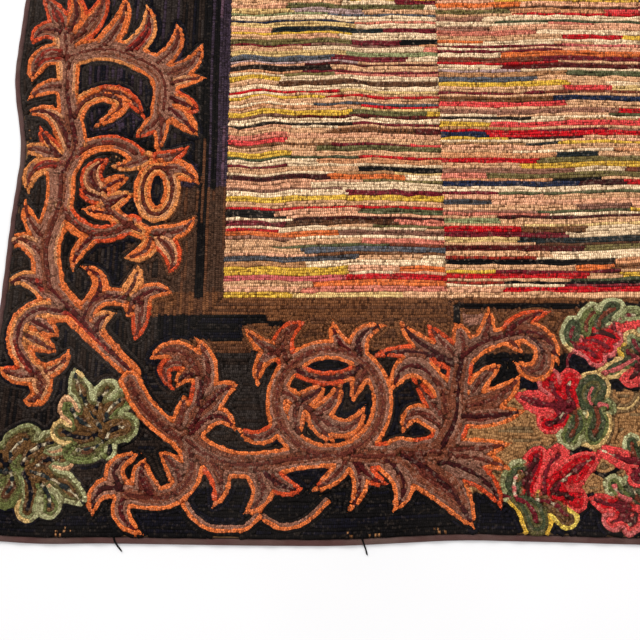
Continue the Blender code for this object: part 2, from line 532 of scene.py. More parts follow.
# %% Tables of the leaves
CORNER_LEAVES = {
    "upper": (("green_cream", 17, (152, 144), (110, 226)), ("green", 12, (145, 158), (162, 210)),
              ("green", 12, (156, 154), (184, 196)), ("green", 15, (158, 131), (196, 158)),
              ("green_cream", 13, (152, 146), (96, 182)), ("green_cream", 12, (152, 139), (86, 143)),
              ("green", 13, (156, 131), (104, 112)), ("green", 6, (160, 131), (164, 104))),
    "lower": (("green_cream", 17, (64, 90), (139, 47)), ("green", 13, (52, 98), (104, 137)),
              ("green", 15, (36, 102), (67, 148)), ("green_cream", 14, (66, 90), (118, 112)),
              ("green_cream", 12, (72, 78), (100, 32)), ("green_cream", 12, (54, 88), (68, 26)),
              ("green", 14, (38, 90), (32, 42)), ("green", 12, (34, 98), (14, 124)),
              ("green", 9, (34, 92), (13, 88))),
}
AUTUMN_LEAVES = {
    "first": (("red", 8, (829, 279), (880, 291)), ("autumn_green", 11, (776, 254), (776, 297)),
              ("autumn_green", 11, (793, 272), (811, 316)), ("autumn_green", 12, (809, 282), (845, 318)),
              ("autumn_green", 10, (832, 284), (872, 304)), ("red", 9, (799, 270), (841, 265)),
              ("red", 9, (788, 262), (831, 249)), ("red", 10, (776, 253), (815, 234))),
    "second": (("red", 16, (763, 176), (693, 189)), ("red", 13, (761, 178), (730, 221)),
               ("red", 12, (768, 178), (765, 224)), ("autumn_green", 17, (792, 176), (799, 221)),
               ("red", 12, (757, 174), (722, 143)), ("autumn_green", 13, (768, 171), (756, 119)),
               ("autumn_green", 14, (795, 173), (786, 119)), ("autumn_green", 8, (797, 174), (824, 173))),
    "third": (("red", 17, (734, 64), (797, 111)), ("autumn_green", 13, (685, 58), (700, 106)),
              ("red", 12, (702, 60), (722, 121)), ("red", 10, (722, 62), (750, 123)),
              ("red", 14, (730, 58), (776, 52)), ("autumn_yellow", 12, (706, 54), (762, 26)),
              ("autumn_yellow", 15, (686, 55), (722, 11)), ("autumn_green", 4, (692, 58), (662, 61))),
    "fourth": (("autumn_green", 11, (858, 240), (796, 216)), ("autumn_yellow", 9, (862, 242), (832, 254)),
               ("autumn_green", 11, (870, 244), (846, 276)), ("autumn_green", 11, (874, 246), (878, 292)),
               ("red", 11, (864, 236), (836, 203)), ("red", 11, (872, 232), (868, 193)),
               ("red", 12, (874, 240), (906, 256)), ("red", 10, (874, 236), (903, 218))),
    "fifth": (("red", 11, (851, 102), (792, 122)), ("autumn_green", 9, (848, 104), (836, 138)),
              ("autumn_green", 11, (860, 104), (866, 140)), ("red", 11, (850, 98), (838, 70)),
              ("red", 11, (866, 96), (880, 66)), ("autumn_green", 11, (868, 103), (906, 120)),
              ("red", 9, (868, 98), (905, 88))),
    "sixth": (("red", 12, (828, 45), (780, 57)), ("autumn_green", 10, (832, 54), (802, 82)),
              ("autumn_green", 11, (845, 50), (836, 92)), ("red", 11, (830, 41), (794, 22)),
              ("red", 10, (836, 39), (818, 12)), ("red", 11, (846, 42), (868, 13)),
              ("autumn_green", 12, (852, 48), (892, 66)), ("red", 9, (854, 44), (900, 30))),
}
# Thin lines: girth, a wool for each row beside the next, then the points they pass.
TENDRILS = (
    (0.9, "black", (755, 120), (762, 112), (775, 120), (792, 112), (791, 102), (782, 97), (799, 85),
     (822, 95)),
    (0.66, "straw", (822, 174), (832, 171), (842, 173), (850, 180), (854, 187)),
    (0.8, "wine", (773, 252), (764, 236), (767, 222), (779, 210)),
    (1.0, "black black", (619.5, 284), (619.5, 299), (619.5, 312)),
)
LEAF_BOW = 0.06


def leaf_strokes(table):
    """The strokes of one leaf: its first lobe has a point, the others are round."""
    (skin, half, root, tip), *others = table
    root, tip = np.array(root, float), np.array(tip, float)
    side = np.array((root[1] - tip[1], tip[0] - root[0]))
    first = lobe(skin, half * LEAF_FULLNESS, root, (root + tip) / 2 + LEAF_BOW * side, tip)
    return [first] + [round_lobe(skin, half * LEAF_FULLNESS, *ends) for skin, half, *ends in others]


print("leaves in a corner", len(CORNER_LEAVES), "and in half an end", len(AUTUMN_LEAVES))

# %% [markdown]
# ## From strokes to hooked rows
# A hooker outlines a shape first, then fills it with one row inside the other. On a grid over the
# rug, each place gets its depth inside the nearest stroke. A line through all places of one depth
# is then exactly one hooked row, and strokes that overlap melt together as on the real rug.

# %% Depth of every place in a motif
CELL = 2.0
ROW = 4.0
REACH = 16.0
FAR = 99.0


class DepthMap:
    """For each place of a window: depth (negative inside), the stroke it belongs to, how far the
    place is from that stroke's centre line, and its depth in the two nearest lobes."""

    def __init__(self, low, high):
        self.low = np.floor(np.array(low) / CELL) * CELL
        self.shape = tuple(np.ceil((np.array(high) - self.low) / CELL).astype(int) + 2)
        self.depth = np.full(self.shape, FAR, np.float32)
        self.off = np.full(self.shape, FAR, np.float32)
        self.stems = np.full(self.shape, FAR, np.float32)
        self.lobe = np.full(self.shape, FAR, np.float32)
        self.other_lobe = np.full(self.shape, FAR, np.float32)
        self.owner = np.full(self.shape, -1, np.int32)

    def paint(self, stroke, number):
        reach = stroke.halves.max() + REACH
        a = np.floor((stroke.line.min(axis=0) - reach - self.low) / CELL).astype(int)
        b = np.ceil((stroke.line.max(axis=0) + reach - self.low) / CELL).astype(int) + 1
        a, b = np.maximum(a, 0), np.minimum(b, self.shape)
        if np.any(b <= a):
            return
        xs = self.low[0] + CELL * np.arange(a[0], b[0], dtype=np.float32)[:, None]
        ys = self.low[1] + CELL * np.arange(a[1], b[1], dtype=np.float32)[None, :]
        depth = np.full((len(xs), ys.shape[1]), FAR, np.float32)
        off = depth.copy()
        for p, q, r, s in zip(stroke.line, stroke.line[1:], stroke.halves, stroke.halves[1:]):
            way = q - p
            t = np.clip(((xs - p[0]) * way[0] + (ys - p[1]) * way[1]) / max(way @ way, 1e-6), 0, 1)
            away = np.hypot(xs - p[0] - t * way[0], ys - p[1] - t * way[1])
            inside = away - (r + (s - r) * t)
            closer = inside < depth
            depth[closer] = inside[closer]
            off[closer] = away[closer]
        window = (slice(a[0], b[0]), slice(a[1], b[1]))
        closer = depth < self.depth[window]
        self.depth[window][closer] = depth[closer]
        self.off[window][closer] = off[closer]
        self.owner[window][closer] = number
        if stroke.form == "stem":
            self.stems[window] = np.minimum(self.stems[window], depth)
        else:
            second = np.maximum(self.lobe[window], depth)
            self.other_lobe[window] = np.minimum(self.other_lobe[window], second)
            self.lobe[window] = np.minimum(self.lobe[window], depth)

    def crease(self, slack):
        """Part neighbouring lobes: half way between two, depth comes up to the slack."""
        halfway = (self.lobe - self.other_lobe) / 2 - slack
        self.depth = np.minimum(self.stems, np.maximum(self.lobe, halfway)).astype(np.float32)

    def places(self):
        """X and Y of every place of the window."""
        return (self.low[0] + CELL * np.arange(self.shape[0])[:, None],
                self.low[1] + CELL * np.arange(self.shape[1])[None, :])

    def at(self, values, line):
        """Values of the nearest grid places to the points of a line."""
        i, j = np.rint((line - self.low) / CELL).astype(int).T
        return values[np.clip(i, 0, self.shape[0] - 1), np.clip(j, 0, self.shape[1] - 1)]

    def smooth_at(self, values, line):
        """Values between grid places, by bilinear interpolation."""
        place = np.clip((line - self.low) / CELL, 0, np.array(self.shape) - 1.001)
        i, j = place.astype(int).T
        s, t = (place - place.astype(int)).T
        low = values[i, j] * (1 - s) + values[i + 1, j] * s
        high = values[i, j + 1] * (1 - s) + values[i + 1, j + 1] * s
        return low * (1 - t) + high * t


# %% [markdown]
# Marching squares finds those lines. In each square of the grid, the corners that are inside say
# which two sides the line crosses, and the crossings are joined from square to square.

# %% Lines of equal depth
BOTTOM, RIGHT, TOP, LEFT = range(4)
CROSSINGS = {1: ((BOTTOM, LEFT),), 2: ((RIGHT, BOTTOM),), 3: ((RIGHT, LEFT),), 4: ((TOP, RIGHT),),
             5: ((BOTTOM, LEFT), (TOP, RIGHT)), 6: ((TOP, BOTTOM),), 7: ((TOP, LEFT),),
             8: ((LEFT, TOP),), 9: ((BOTTOM, TOP),), 10: ((RIGHT, BOTTOM), (LEFT, TOP)),
             11: ((RIGHT, TOP),), 12: ((LEFT, RIGHT),), 13: ((BOTTOM, RIGHT),), 14: ((LEFT, BOTTOM),)}


def equal_depth(field, level):
    """Closed lines, in mm, where the depth passes a level."""
    depth = field.depth
    width, height = depth.shape
    inside = depth < level
    case = (inside[:-1, :-1] + 2 * inside[1:, :-1] + 4 * inside[1:, 1:]
            + 8 * inside[:-1, 1:]).astype(int)

    def side_number(i, j, side):
        if side in (BOTTOM, TOP):
            return 2 * (i * height + j + (side == TOP))
        return 2 * ((i + (side == RIGHT)) * height + j) + 1

    follow = {}
    for kind, pairs in CROSSINGS.items():
        i, j = np.nonzero(case == kind)
        for start, end in pairs:
            follow.update(zip(side_number(i, j, start).tolist(), side_number(i, j, end).tolist()))
    lines = []
    while follow:
        first, at = follow.popitem()
        numbers = [first]
        while at in follow:
            numbers.append(at)
            at = follow.pop(at)
        numbers = np.array(numbers)
        upright = numbers % 2
        i, j = np.divmod(numbers // 2, height)
        here = depth[i, j]
        there = depth[np.minimum(i + 1 - upright, width - 1), np.minimum(j + upright, height - 1)]
        part = (level - here) / (there - here)
        lines.append(field.low + CELL * np.column_stack((i + part * (1 - upright), j + part * upright)))
    return lines


# %% [markdown]
# A traced line has far more points than it needs. It is smoothed, measured off in even steps, and
# then keeps a point only where it has turned enough or run far enough since the last one.

# %% Smoothing and thinning
FINE_STEP = 2.5
MOTIF_STEP = 3.9
INNER_STEP = 7.0
TURN_LIMIT = math.radians(18)


def smoothed(line, closed, rounds=2):
    for _ in range(rounds):
        if closed:
            line = (np.roll(line, 1, axis=0) + 2 * line + np.roll(line, -1, axis=0)) / 4
        elif len(line) > 2:
            line = np.vstack((line[:1], (line[:-2] + 2 * line[1:-1] + line[2:]) / 4, line[-1:]))
    return line


def points_at(line, run, places):
    """Points of a line at given distances along it."""
    return np.column_stack([np.interp(places, run, line[:, axis]) for axis in (0, 1)])


def even_steps(line, step):
    run = lengths(line)
    if run[-1] < step:
        return line[[0, -1]]
    return points_at(line, run, np.linspace(0, run[-1], max(2, round(run[-1] / step) + 1)))


def kept_points(line, longest):
    """Numbers of the points that a thinned line keeps."""
    way = np.diff(line, axis=0)
    heading = np.unwrap(np.arctan2(way[:, 1], way[:, 0]))
    run = lengths(line)
    kept = [0]
    for i in range(1, len(line) - 1):
        if abs(heading[i] - heading[kept[-1]]) > TURN_LIMIT or run[i + 1] - run[kept[-1]] > longest:
            kept.append(i)
    return np.array(kept + [len(line) - 1])


# %% [markdown]
# ## A store of rows
# Every row of the rug ends up as a thin line with its wools. Rows are gathered by piece, because
# each piece becomes one mesh: the four columns of stripes, each scroll, each group of leaves and
# the ground of each border. No place of the border takes two motifs: the first one keeps it.

# %% The store of rows and the room they have
RIM = 1000 * (TAPE_SHOWS + SEWN_GAP)
HALF_ROW = ROW / 2
END_LINE = 1000 * HALF_LENGTH
SIDE_LINE = 1000 * HALF_WIDTH
FIELD_X = 500 * FIELD_WIDTH
FIELD_Y = 500 * FIELD_LENGTH
SHORTEST_ROW = 3.5
rows = {}
whole = DepthMap((-SIDE_LINE - 30, -END_LINE - 30), (SIDE_LINE + 30, END_LINE + 30))
covered = np.zeros(whole.shape, bool)


def room(line):
    """How far points are inside the border band, from its nearest edge, in mm."""
    x, y = line.T
    mx, my = x * MM, y * MM
    out_x = np.where(x < 0, 1000 * edge_line("left", my), 1000 * edge_line("right", my)) - np.abs(x)
    out_y = np.where(y < 0, 1000 * edge_line("front", mx), 1000 * edge_line("back", mx)) - np.abs(y)
    from_field = np.maximum(np.abs(x) - FIELD_X, np.abs(y) - FIELD_Y)
    return np.minimum(np.minimum(out_x, out_y) - RIM, from_field)


def mixed(*numbers):
    """A repeatable scramble of whole numbers, from 0 to 1."""
    total = np.uint32(2166136261)
    with np.errstate(over="ignore"):
        for number in numbers:
            total = (total ^ np.asarray(number).astype(np.int64).astype(np.uint32)) * np.uint32(16777619)
            total = total ^ (total >> np.uint32(15))
        return (total * np.uint32(2654435761) >> np.uint32(8)) / float(1 << 24)


# %% Worn places
# In the front left corner: in from the side and from the end, then their half sizes.
WORN = ((115, 10, 19, 7), (496, 18, 6, 2.2), (474, 12, 8, 2.2), (510, 10, 10, 4.5), (484, 6, 6, 2),
        (587, 16, 9, 2.2), (731, 11, 9, 2.2), (22, 560, 4, 16), (150, 525, 14, 5), (61, 455, 4, 9))
WORN_STEP = 1.5
WORN_SHARE = 0.22
WORN_GIRTH = 0.55
WORN_MARGIN = 0.4
WORN_NEAR = (12, 2)


def worn(line, margin=0.0):
    """Which points of a line lie in a worn place, with ragged edges."""
    u, v = line[:, 0] + SIDE_LINE, line[:, 1] + END_LINE
    ragged = 0.25 * np.sin(u / 2.3 + 1.9 * v) + 0.2 * np.sin(v / 1.7)
    away = [np.hypot((u - cu) / ru, (v - cv) / rv) for cu, cv, ru, rv in WORN]
    return np.min(away, axis=0) + ragged < 1 + margin


def near_worn(line):
    """Whether a row passes close to a worn place."""
    u, v = line[:, 0] + SIDE_LINE, line[:, 1] + END_LINE
    return any(abs(u - cu).min() < ru + WORN_NEAR[0] and abs(v - cv).min() < rv + WORN_NEAR[1]
               for cu, cv, ru, rv in WORN)


# %% Storing a row
def store_row(piece, line, wools, lift, girth):
    """Add a row to its piece, and mark the places that it covers."""
    if lengths(line)[-1] >= SHORTEST_ROW:
        rows.setdefault(piece, []).append((line, wools.astype(int), lift, girth))
        i, j = np.rint((even_steps(line, CELL) - whole.low) / CELL).astype(int).T
        covered[i, j] = True


def keep_row(piece, line, wools, lift=0.0, girth=1.0):
    """Store one row: its points in mm, a wool number for each, and its extra height in mm. In a
    worn place the pale backs of its loops show, and it lies lower."""
    wools, lift, girth = (np.broadcast_to(value, len(line)) for value in (wools, lift, girth))
    if near_worn(line):
        run = lengths(line)
        fine = np.arange(0.0, run[-1], WORN_STEP)
        places = np.union1d(run, fine[worn(points_at(line, run, fine), WORN_MARGIN)])
        line = points_at(line, run, places)
        nearest = np.abs(run[None, :] - places[:, None]).argmin(axis=1)
        wools = wools[nearest].astype(int)
        lift, girth = (values[nearest].astype(float) for values in (lift, girth))
        thin = worn(line) & (mixed(np.arange(len(line)), int(run[-1])) < WORN_SHARE)
        wools[thin] = WOOL_INDEX["fawn"]
        girth[thin] *= WORN_GIRTH
    store_row(piece, line, wools, lift, girth)


# %% Finding places without a row
BARE_START, BARE_END = 0.8, 0.2    # how far short rows reach past a bare place, in grid steps


def bare_lines(field, wanted):
    """Short upright lines through the wanted places of a window that no row covers yet."""
    shift = np.rint((field.low - whole.low) / CELL).astype(int)
    i, j = np.nonzero(wanted)
    i, j = i + shift[0], j + shift[1]
    inside = (i > 0) & (j > 0) & (i < whole.shape[0] - 1) & (j < whole.shape[1] - 1)
    i, j = i[inside], j[inside]
    near = np.zeros(len(i), bool)
    for a in (-1, 0, 1):
        for b in (-1, 0, 1):
            near |= covered[i + a, j + b]
    bare = np.zeros(whole.shape, bool)
    bare[i[~near], j[~near]] = True
    for column in np.unique(i[~near]):
        if column % 2:
            continue
        both = bare[column] | bare[column + 1]
        for a, b in stretches(both, 1):
            ends = whole.low[1] + CELL * np.array((a - BARE_START, b - BARE_END))
            yield np.column_stack((np.full(2, whole.low[0] + CELL * (column + 0.5)), ends))


def stretches(keep, fewest=2):
    """First and last number of each unbroken stretch of kept points."""
    edges = np.flatnonzero(np.diff(np.concatenate(([0], keep.astype(int), [0]))))
    return [(a, b) for a, b in zip(edges[::2], edges[1::2]) if b - a >= fewest]


# %% [markdown]
# A motif's rows are hooked inwards from its outline, until they meet the vein along each stroke's
# centre. The vein is one raised row in a dark wool. Wools run out, so a row changes to the next
# strip of the same family every ten or twenty centimetres.

# %% Rows of one motif
MOST_ROWS = 7
VEIN_ROOM = 2.0
VEIN_HALF = 3.4
VEIN_LIFT = 0.45
MOTIF_LIFT = 0.7
STRIP_RUN = 130.0
DASHED_VEINS = ("green", "green_cream", "autumn_green", "autumn_yellow", "red")
DASHED_SHARE = 0.5
DASH_SHARE = 0.3
DASH_GIRTH = 0.54
TIP_GIRTHS = (0.8, 1.0, 0.45)
OVERLAP_ROOM = 0.5
SCROLL_SLACK = 4.0
HEART_SHARE = 0.85
TIP_BACK = 9.0
TIP_MIDDLE = 0.4
TIP_RUN = 2.5
OUTLINE_LIFT = 0.25
OUTLINE_GIRTH = 1.04
stroke_count = 0


def wool_for(skin, level, owner, run):
    """A wool from a finish's list for one row, changing with the stroke and along the row."""
    lists = SKIN_WOOLS[skin]
    names = lists[min(level, len(lists) - 2)] if level >= 0 else lists[-1]
    return names[int(mixed(owner, level + 7, run) * len(names))]


def mark_taken(field):
    """Copy a motif's depth into the map of the whole rug."""
    shift = np.rint((field.low - whole.low) / CELL).astype(int)
    a = np.maximum(shift, 0)
    b = np.minimum(shift + field.shape, whole.shape)
    if np.any(b <= a):
        return
    target = (slice(a[0], b[0]), slice(a[1], b[1]))
    source = (slice(a[0] - shift[0], b[0] - shift[0]), slice(a[1] - shift[1], b[1] - shift[1]))
    whole.depth[target] = np.minimum(whole.depth[target], field.depth[source])


# %% Hooking one motif
def hook_motif(piece, strokes, seed, heart=None):
    """Turn strokes into rows, and mark their place as taken. A leaf names its heart, where its
    lobes melt together; further out each lobe has its own outline."""
    global stroke_count
    stroke_count += len(strokes)
    low = np.min([s.line.min(axis=0) - s.halves.max() for s in strokes], axis=0) - REACH - CELL
    high = np.max([s.line.max(axis=0) + s.halves.max() for s in strokes], axis=0) + REACH + CELL
    field = DepthMap(low, high)
    for number, stroke in enumerate(strokes):
        field.paint(stroke, number)
    xs, ys = field.places()
    slack = SCROLL_SLACK
    if heart is not None:
        melted = HEART_SHARE * np.mean([np.hypot(*(stroke.line[-1] - heart)) for stroke in strokes])
        slack = np.maximum(0, melted - np.hypot(xs - heart[0], ys - heart[1]))
    field.crease(slack)
    skins = np.array([s.skin for s in strokes])

    def clear(line):
        return (room(line) > HALF_ROW) & (whole.smooth_at(whole.depth, line) > OVERLAP_ROOM)

    for level in range(MOST_ROWS):
        for traced in equal_depth(field, -(level + 0.5) * ROW):
            line = smoothed(traced, closed=True)
            line = even_steps(np.vstack((line, line[:1])), FINE_STEP)
            for a, b in stretches((field.at(field.off, line) > VEIN_ROOM) & clear(line)):
                part = even_steps(line[a:b], INNER_STEP if level else MOTIF_STEP)
                owner = field.at(field.owner, part)
                run = (lengths(part) / STRIP_RUN).astype(int)
                wools = [wool_for(skins[o], level, seed + o, r) for o, r in zip(owner, run)]
                if level:
                    keep_row(piece, part, wools, MOTIF_LIFT)
                else:
                    keep_row(piece, part, wools, MOTIF_LIFT + OUTLINE_LIFT, OUTLINE_GIRTH)
    for number, stroke in enumerate(strokes):
        line = even_steps(stroke.line, FINE_STEP)
        own = field.at(field.owner, line) == number
        for a, b in stretches((field.smooth_at(field.depth, line) < -VEIN_HALF) & own & clear(line)):
            part = even_steps(line[a:b], MOTIF_STEP)
            wool = np.full(len(part), wool_for(stroke.skin, -1, seed + number, 0))
            if SKIN_NAMES[stroke.skin] in DASHED_VEINS and mixed(seed, number, 3) < DASHED_SHARE:
                wool[mixed(seed + number, np.arange(len(part))) < DASH_SHARE] = WOOL_INDEX["ivory"]
            girth = np.where(wool == WOOL_INDEX["ivory"], DASH_GIRTH, 1.0)
            keep_row(piece, part, wool, MOTIF_LIFT + VEIN_LIFT, girth)
        if stroke.form == "pointed":
            tip = stroke.line[-1]
            ahead = (tip - stroke.line[-2]) / np.linalg.norm(tip - stroke.line[-2])
            point = np.array((tip - TIP_BACK * ahead, tip - TIP_MIDDLE * TIP_BACK * ahead,
                              tip + TIP_RUN * ahead))
            if clear(point).all() and field.smooth_at(field.depth, point)[2] > 0:
                wool = wool_for(stroke.skin, 0, seed + number, 0)
                keep_row(piece, point, wool, MOTIF_LIFT + OUTLINE_LIFT, np.array(TIP_GIRTHS))
    for line in bare_lines(field, field.depth < -OVERLAP_ROOM):
        if clear(line).all():
            owner = field.at(field.owner, line)[0]
            level = int(-field.at(field.depth, line)[0] / ROW)
            keep_row(piece, line, wool_for(skins[owner], level, seed + owner, 0), MOTIF_LIFT)
    mark_taken(field)


# %% [markdown]
# ## Laying out the motifs
# The four corners carry the same design, mirrored. A hand-drawn repeat is never exact, so each
# corner's drawing drifts a few millimetres from the first, by a slow wave with its own phase.

# %% Laying out the motifs
DRIFT = 3.5
DRIFT_WAVE = 85.0
RIPPLE, RIPPLE_RATE = 0.4, 2.3
CORNERS = {"front_left": (-1, -1), "front_right": (1, -1), "back_left": (-1, 1), "back_right": (1, 1)}


def placed(strokes, sign_x, sign_y, seed):
    """Strokes from a corner's own coordinates to the rug's, drifted unless seed is 0."""
    phases = np.random.default_rng(seed).uniform(0, 2 * math.pi, 4)
    result = []
    for stroke in strokes:
        p = stroke.line
        if seed:
            wave = p[:, ::-1] / DRIFT_WAVE
            p = (p + DRIFT * np.sin(wave + phases[:2])
                 + RIPPLE * DRIFT * np.sin(RIPPLE_RATE * wave + phases[2:]))
        line = np.column_stack((sign_x * (SIDE_LINE - p[:, 0]), sign_y * (END_LINE - p[:, 1])))
        result.append(Stroke(line, stroke.halves, SKIN_NAMES[stroke.skin], stroke.form))
    return result


def heart_of(strokes):
    """The place of a leaf where its lobes meet."""
    return np.mean([stroke.line[0] for stroke in strokes], axis=0)


def offset_line(line, distance):
    """A line beside another, a distance to its left."""
    ahead = np.gradient(line, axis=0)
    return line + distance * np.column_stack((-ahead[:, 1], ahead[:, 0])) / np.hypot(*ahead.T)[:, None]


def lay_thin(piece, line, wools, girth=1.0):
    """Rows of a thin line that is as many rows wide as it has wools, and its place marked."""
    line = even_steps(line, MOTIF_STEP)
    for number, wool in enumerate(wools):
        row = offset_line(line, (number - (len(wools) - 1) / 2) * ROW)
        clear = (whole.smooth_at(whole.depth, row) > OVERLAP_ROOM) & (room(row) > HALF_ROW)
        for a, b in stretches(clear):
            keep_row(piece, row[a:b], WOOL_INDEX[wool], MOTIF_LIFT, girth)
    field = DepthMap(line.min(axis=0) - 2 * REACH, line.max(axis=0) + 2 * REACH)
    field.paint(Stroke(line, np.full(len(line), HALF_ROW * len(wools)), "scroll"), 0)
    mark_taken(field)


# %% Hooking the corners
# Seeds keep the wools of each motif apart.
CORNER_SEED = 1000
SCROLL_SEEDS = {"end": 0, "side": 500}
CORNER_LEAF_SEED = 5000
for number, (name, (sign_x, sign_y)) in enumerate(CORNERS.items()):
    for where, scroll_seed in SCROLL_SEEDS.items():
        hook_motif(f"scroll_{where}_{name}", placed(scroll_strokes(where), sign_x, sign_y, number),
                   CORNER_SEED * number + scroll_seed)
    for table in CORNER_LEAVES.values():
        strokes = placed(leaf_strokes(table), sign_x, sign_y, number)
        hook_motif(f"corner_leaves_{name}", strokes, CORNER_LEAF_SEED + number, heart_of(strokes))
    swags = [Stroke(through(points), [1.0], "scroll") for points in SWAGS]
    swag_wools = SWAG_WOOLS if sign_x * sign_y > 0 else SWAG_WOOLS[::-1]
    for swag in placed(swags, sign_x, sign_y, number):
        lay_thin(f"scroll_end_{name}", swag.line, swag_wools)
print("corner motifs hooked", stroke_count, "strokes,", sum(map(len, rows.values())), "rows,",
      round(time.time() - STARTED, 1), "s")

# %% [markdown]
# The middle of each end holds six autumn leaves on either side of the centre line. On the long
# sides the same leaves are repeated in groups, turned to run along the border.

# %% Autumn leaves
SIDE_GROUPS = (132, 398)
GROUP_MIDDLE = 775
GROUP_SQUEEZE = 0.93
GROUP_DRIFT = 20
END_DRIFTS = {"front": 0, "back": 11}
END_LEAF_SEED = 6000
SIDE_LEAF_SEED = 7000
for end, sign_y in (("front", -1), ("back", 1)):
    for number, table in enumerate(AUTUMN_LEAVES.values()):
        for half, sign_x in enumerate((-1, 1)):
            strokes = placed(leaf_strokes(table), sign_x, sign_y, END_DRIFTS[end] + half)
            hook_motif(f"autumn_leaves_{end}", strokes, END_LEAF_SEED + 20 * number + 3 * half + sign_y,
                       heart_of(strokes))
for flank, sign_x in (("left", -1), ("right", 1)):
    for number, table in enumerate(AUTUMN_LEAVES.values()):
        for group, centre in enumerate(SIDE_GROUPS):
            for sign_y in (-1, 1):
                strokes = leaf_strokes(table)
                for stroke in strokes:
                    along = GROUP_MIDDLE - stroke.line[:, 0]
                    stroke.line = np.column_stack((stroke.line[:, 1] * GROUP_SQUEEZE,
                                                   END_LINE - centre + along))
                strokes = placed(strokes, sign_x, sign_y, GROUP_DRIFT + group)
                seed = SIDE_LEAF_SEED + 50 * number + 7 * group + sign_y
                hook_motif(f"autumn_leaves_{flank}", strokes, seed, heart_of(strokes))
for end, sign_y in (("front", -1), ("back", 1)):
    for girth, wools, *points in TENDRILS:
        for sign_x in (-1, 1):
            tendril = Stroke(through(points), [1.0], "scroll")
            for stroke in placed([tendril], sign_x, sign_y, 0):
                lay_thin(f"autumn_leaves_{end}", stroke.line, wools.split(), girth)
print("all motifs hooked", stroke_count, "strokes,", sum(map(len, rows.values())), "rows,",
      round(time.time() - STARTED, 1), "s")

# %% [markdown]
# ## The ground of the borders
# One or two rows of ground echo every outline. The rest of the ground is hooked in straight rows
# along each border, mitred at the corners. The outermost ones follow the uneven edge. The ground
# is dark, but pieced from blacks, browns and plums: a table of patches says where each was used.

# %% Wools of the ground
GROUND_DARK = wool_list("black black ink dark_brown char char dark_brown")
# Patches: how far in from the side edge and from the end edge (low, high), then the wools.
GROUND_PATCHES = (
    ((616, 920), (308.0, 316.3), "black"),
    ((615, 624), (285, 314), "black"),
    ((627, 662), (284, 300), "grey_brown taupe"),
    ((270.5, 274.8), (430, 560), "earth"),
    ((266, 276), (322, 1400), "black"),
    ((282, 289), (480, 1400), "black"),
    ((219, 333), (264, 299), "black black ink"),
    ((333, 364), (285, 299), "black"),
    ((364, 390), (283, 290), "black"),
    ((618, 920), (276, 311), "brown earth brown"),
    ((200, 920), (296, 330), "brown earth brown"),
    ((333, 620), (250, 299), "brown brown earth"),
    ((236, 345), (247, 264), "earth brown earth"),
    ((232, 375), (120, 247), "char dark_brown char"),
    ((620, 920), (245, 276), "brown dark_brown earth"),
    ((655, 920), (196, 245), "black ink black"),
    ((590, 920), (62, 196), "olive_tan olive_tan olive_tan khaki"),
    ((0, 920), (0, 70), "black ink black"),
    ((330, 620), (40, 300), "dark_brown black dark_brown ink"),
    ((266, 320), (485, 1400), "plum mauve plum"),
    ((218, 320), (320, 485), "earth umber umber"),
    ((165, 240), (322, 400), "umber dark_brown umber"),
    ((238, 262), (440, 520), "plum plum mauve"),
    ((0, 60), (300, 1400), "char dark_brown char"),
    ((0, 235), (560, 1400), "ink char plum char"),
)
PATCH_WOOLS = [wool_list(names) for *_, names in GROUND_PATCHES]
GROUND_RUN = 210
PATCH_SWAY, PATCH_WAVE = 1.2, 37
GROUND_STEP = 14.0


def ground_wools(line, row_number, inset_x=None, inset_y=None):
    """Wool of each point of a ground row: the first patch that holds it, or the dark mix. A straight
    row gives its own inset, so that it stays one wool where it wanders."""
    in_x = SIDE_LINE - np.abs(line[:, 0]) if inset_x is None else np.full(len(line), inset_x)
    in_y = END_LINE - np.abs(line[:, 1]) if inset_y is None else np.full(len(line), inset_y)
    strip = (lengths(line) / GROUND_RUN + 3 * mixed(row_number, 5)).astype(int)
    sway = PATCH_SWAY * np.sin(line.sum(axis=1) / PATCH_WAVE + row_number) if inset_x is None else 0.0
    wools = np.full(len(line), -1)
    for (x_span, y_span, _), names in zip(GROUND_PATCHES, PATCH_WOOLS):
        held = ((in_x + sway > x_span[0]) & (in_x + sway < x_span[1]) & (in_y > y_span[0])
                & (in_y < y_span[1]) & (wools < 0))
        wools[held] = np.array(names)[(mixed(row_number, strip[held]) * len(names)).astype(int)]
    bare = wools < 0
    picks = (mixed(row_number + 9, strip[bare]) * len(GROUND_DARK)).astype(int)
    wools[bare] = np.array(GROUND_DARK)[picks]
    return wools


def lay_ground(piece, line, row_number, **insets):
    """Store a ground row with a point on both sides of each change of wool, so it is sharp."""
    fine = even_steps(line, FINE_STEP)
    wools = ground_wools(fine, row_number, **insets)
    changes = np.flatnonzero(np.diff(wools))
    kept = np.unique(np.concatenate((kept_points(fine, GROUND_STEP), changes, changes + 1)))
    keep_row(piece, fine[kept], wools[kept])


# %% Echo rows
ECHO_ROWS = 2


def border_of(x, y):
    """Name of the border that a place lies in, split along the mitres."""
    if (SIDE_LINE - abs(x)) / SIDE_BORDER < (END_LINE - abs(y)) / END_BORDER:
        return "left" if x < 0 else "right"
    return "front" if y < 0 else "back"


echo_number = 0
for level in range(ECHO_ROWS):
    for traced in equal_depth(whole, (level + 0.5) * ROW):
        line = smoothed(traced, closed=True)
        line = even_steps(np.vstack((line, line[:1])), FINE_STEP)
        for a, b in stretches(room(line) > HALF_ROW):
            part = line[a:b]
            cuts = [border_of(*point) for point in part]
            start = 0
            for i in range(1, len(part) + 1):
                if i == len(part) or cuts[i] != cuts[start]:
                    piece = part[start:min(i + 1, len(part))]
                    if len(piece) > 1:
                        echo_number += 1
                        lay_ground(f"ground_{cuts[start]}", piece, 3000 + echo_number)
                    start = i


# %% Straight rows
GROUND_CLEAR = ECHO_ROWS * ROW - 1.2
FIRST_INSET = RIM + HALF_ROW + 1.4
PROBE_STEP = 3.0


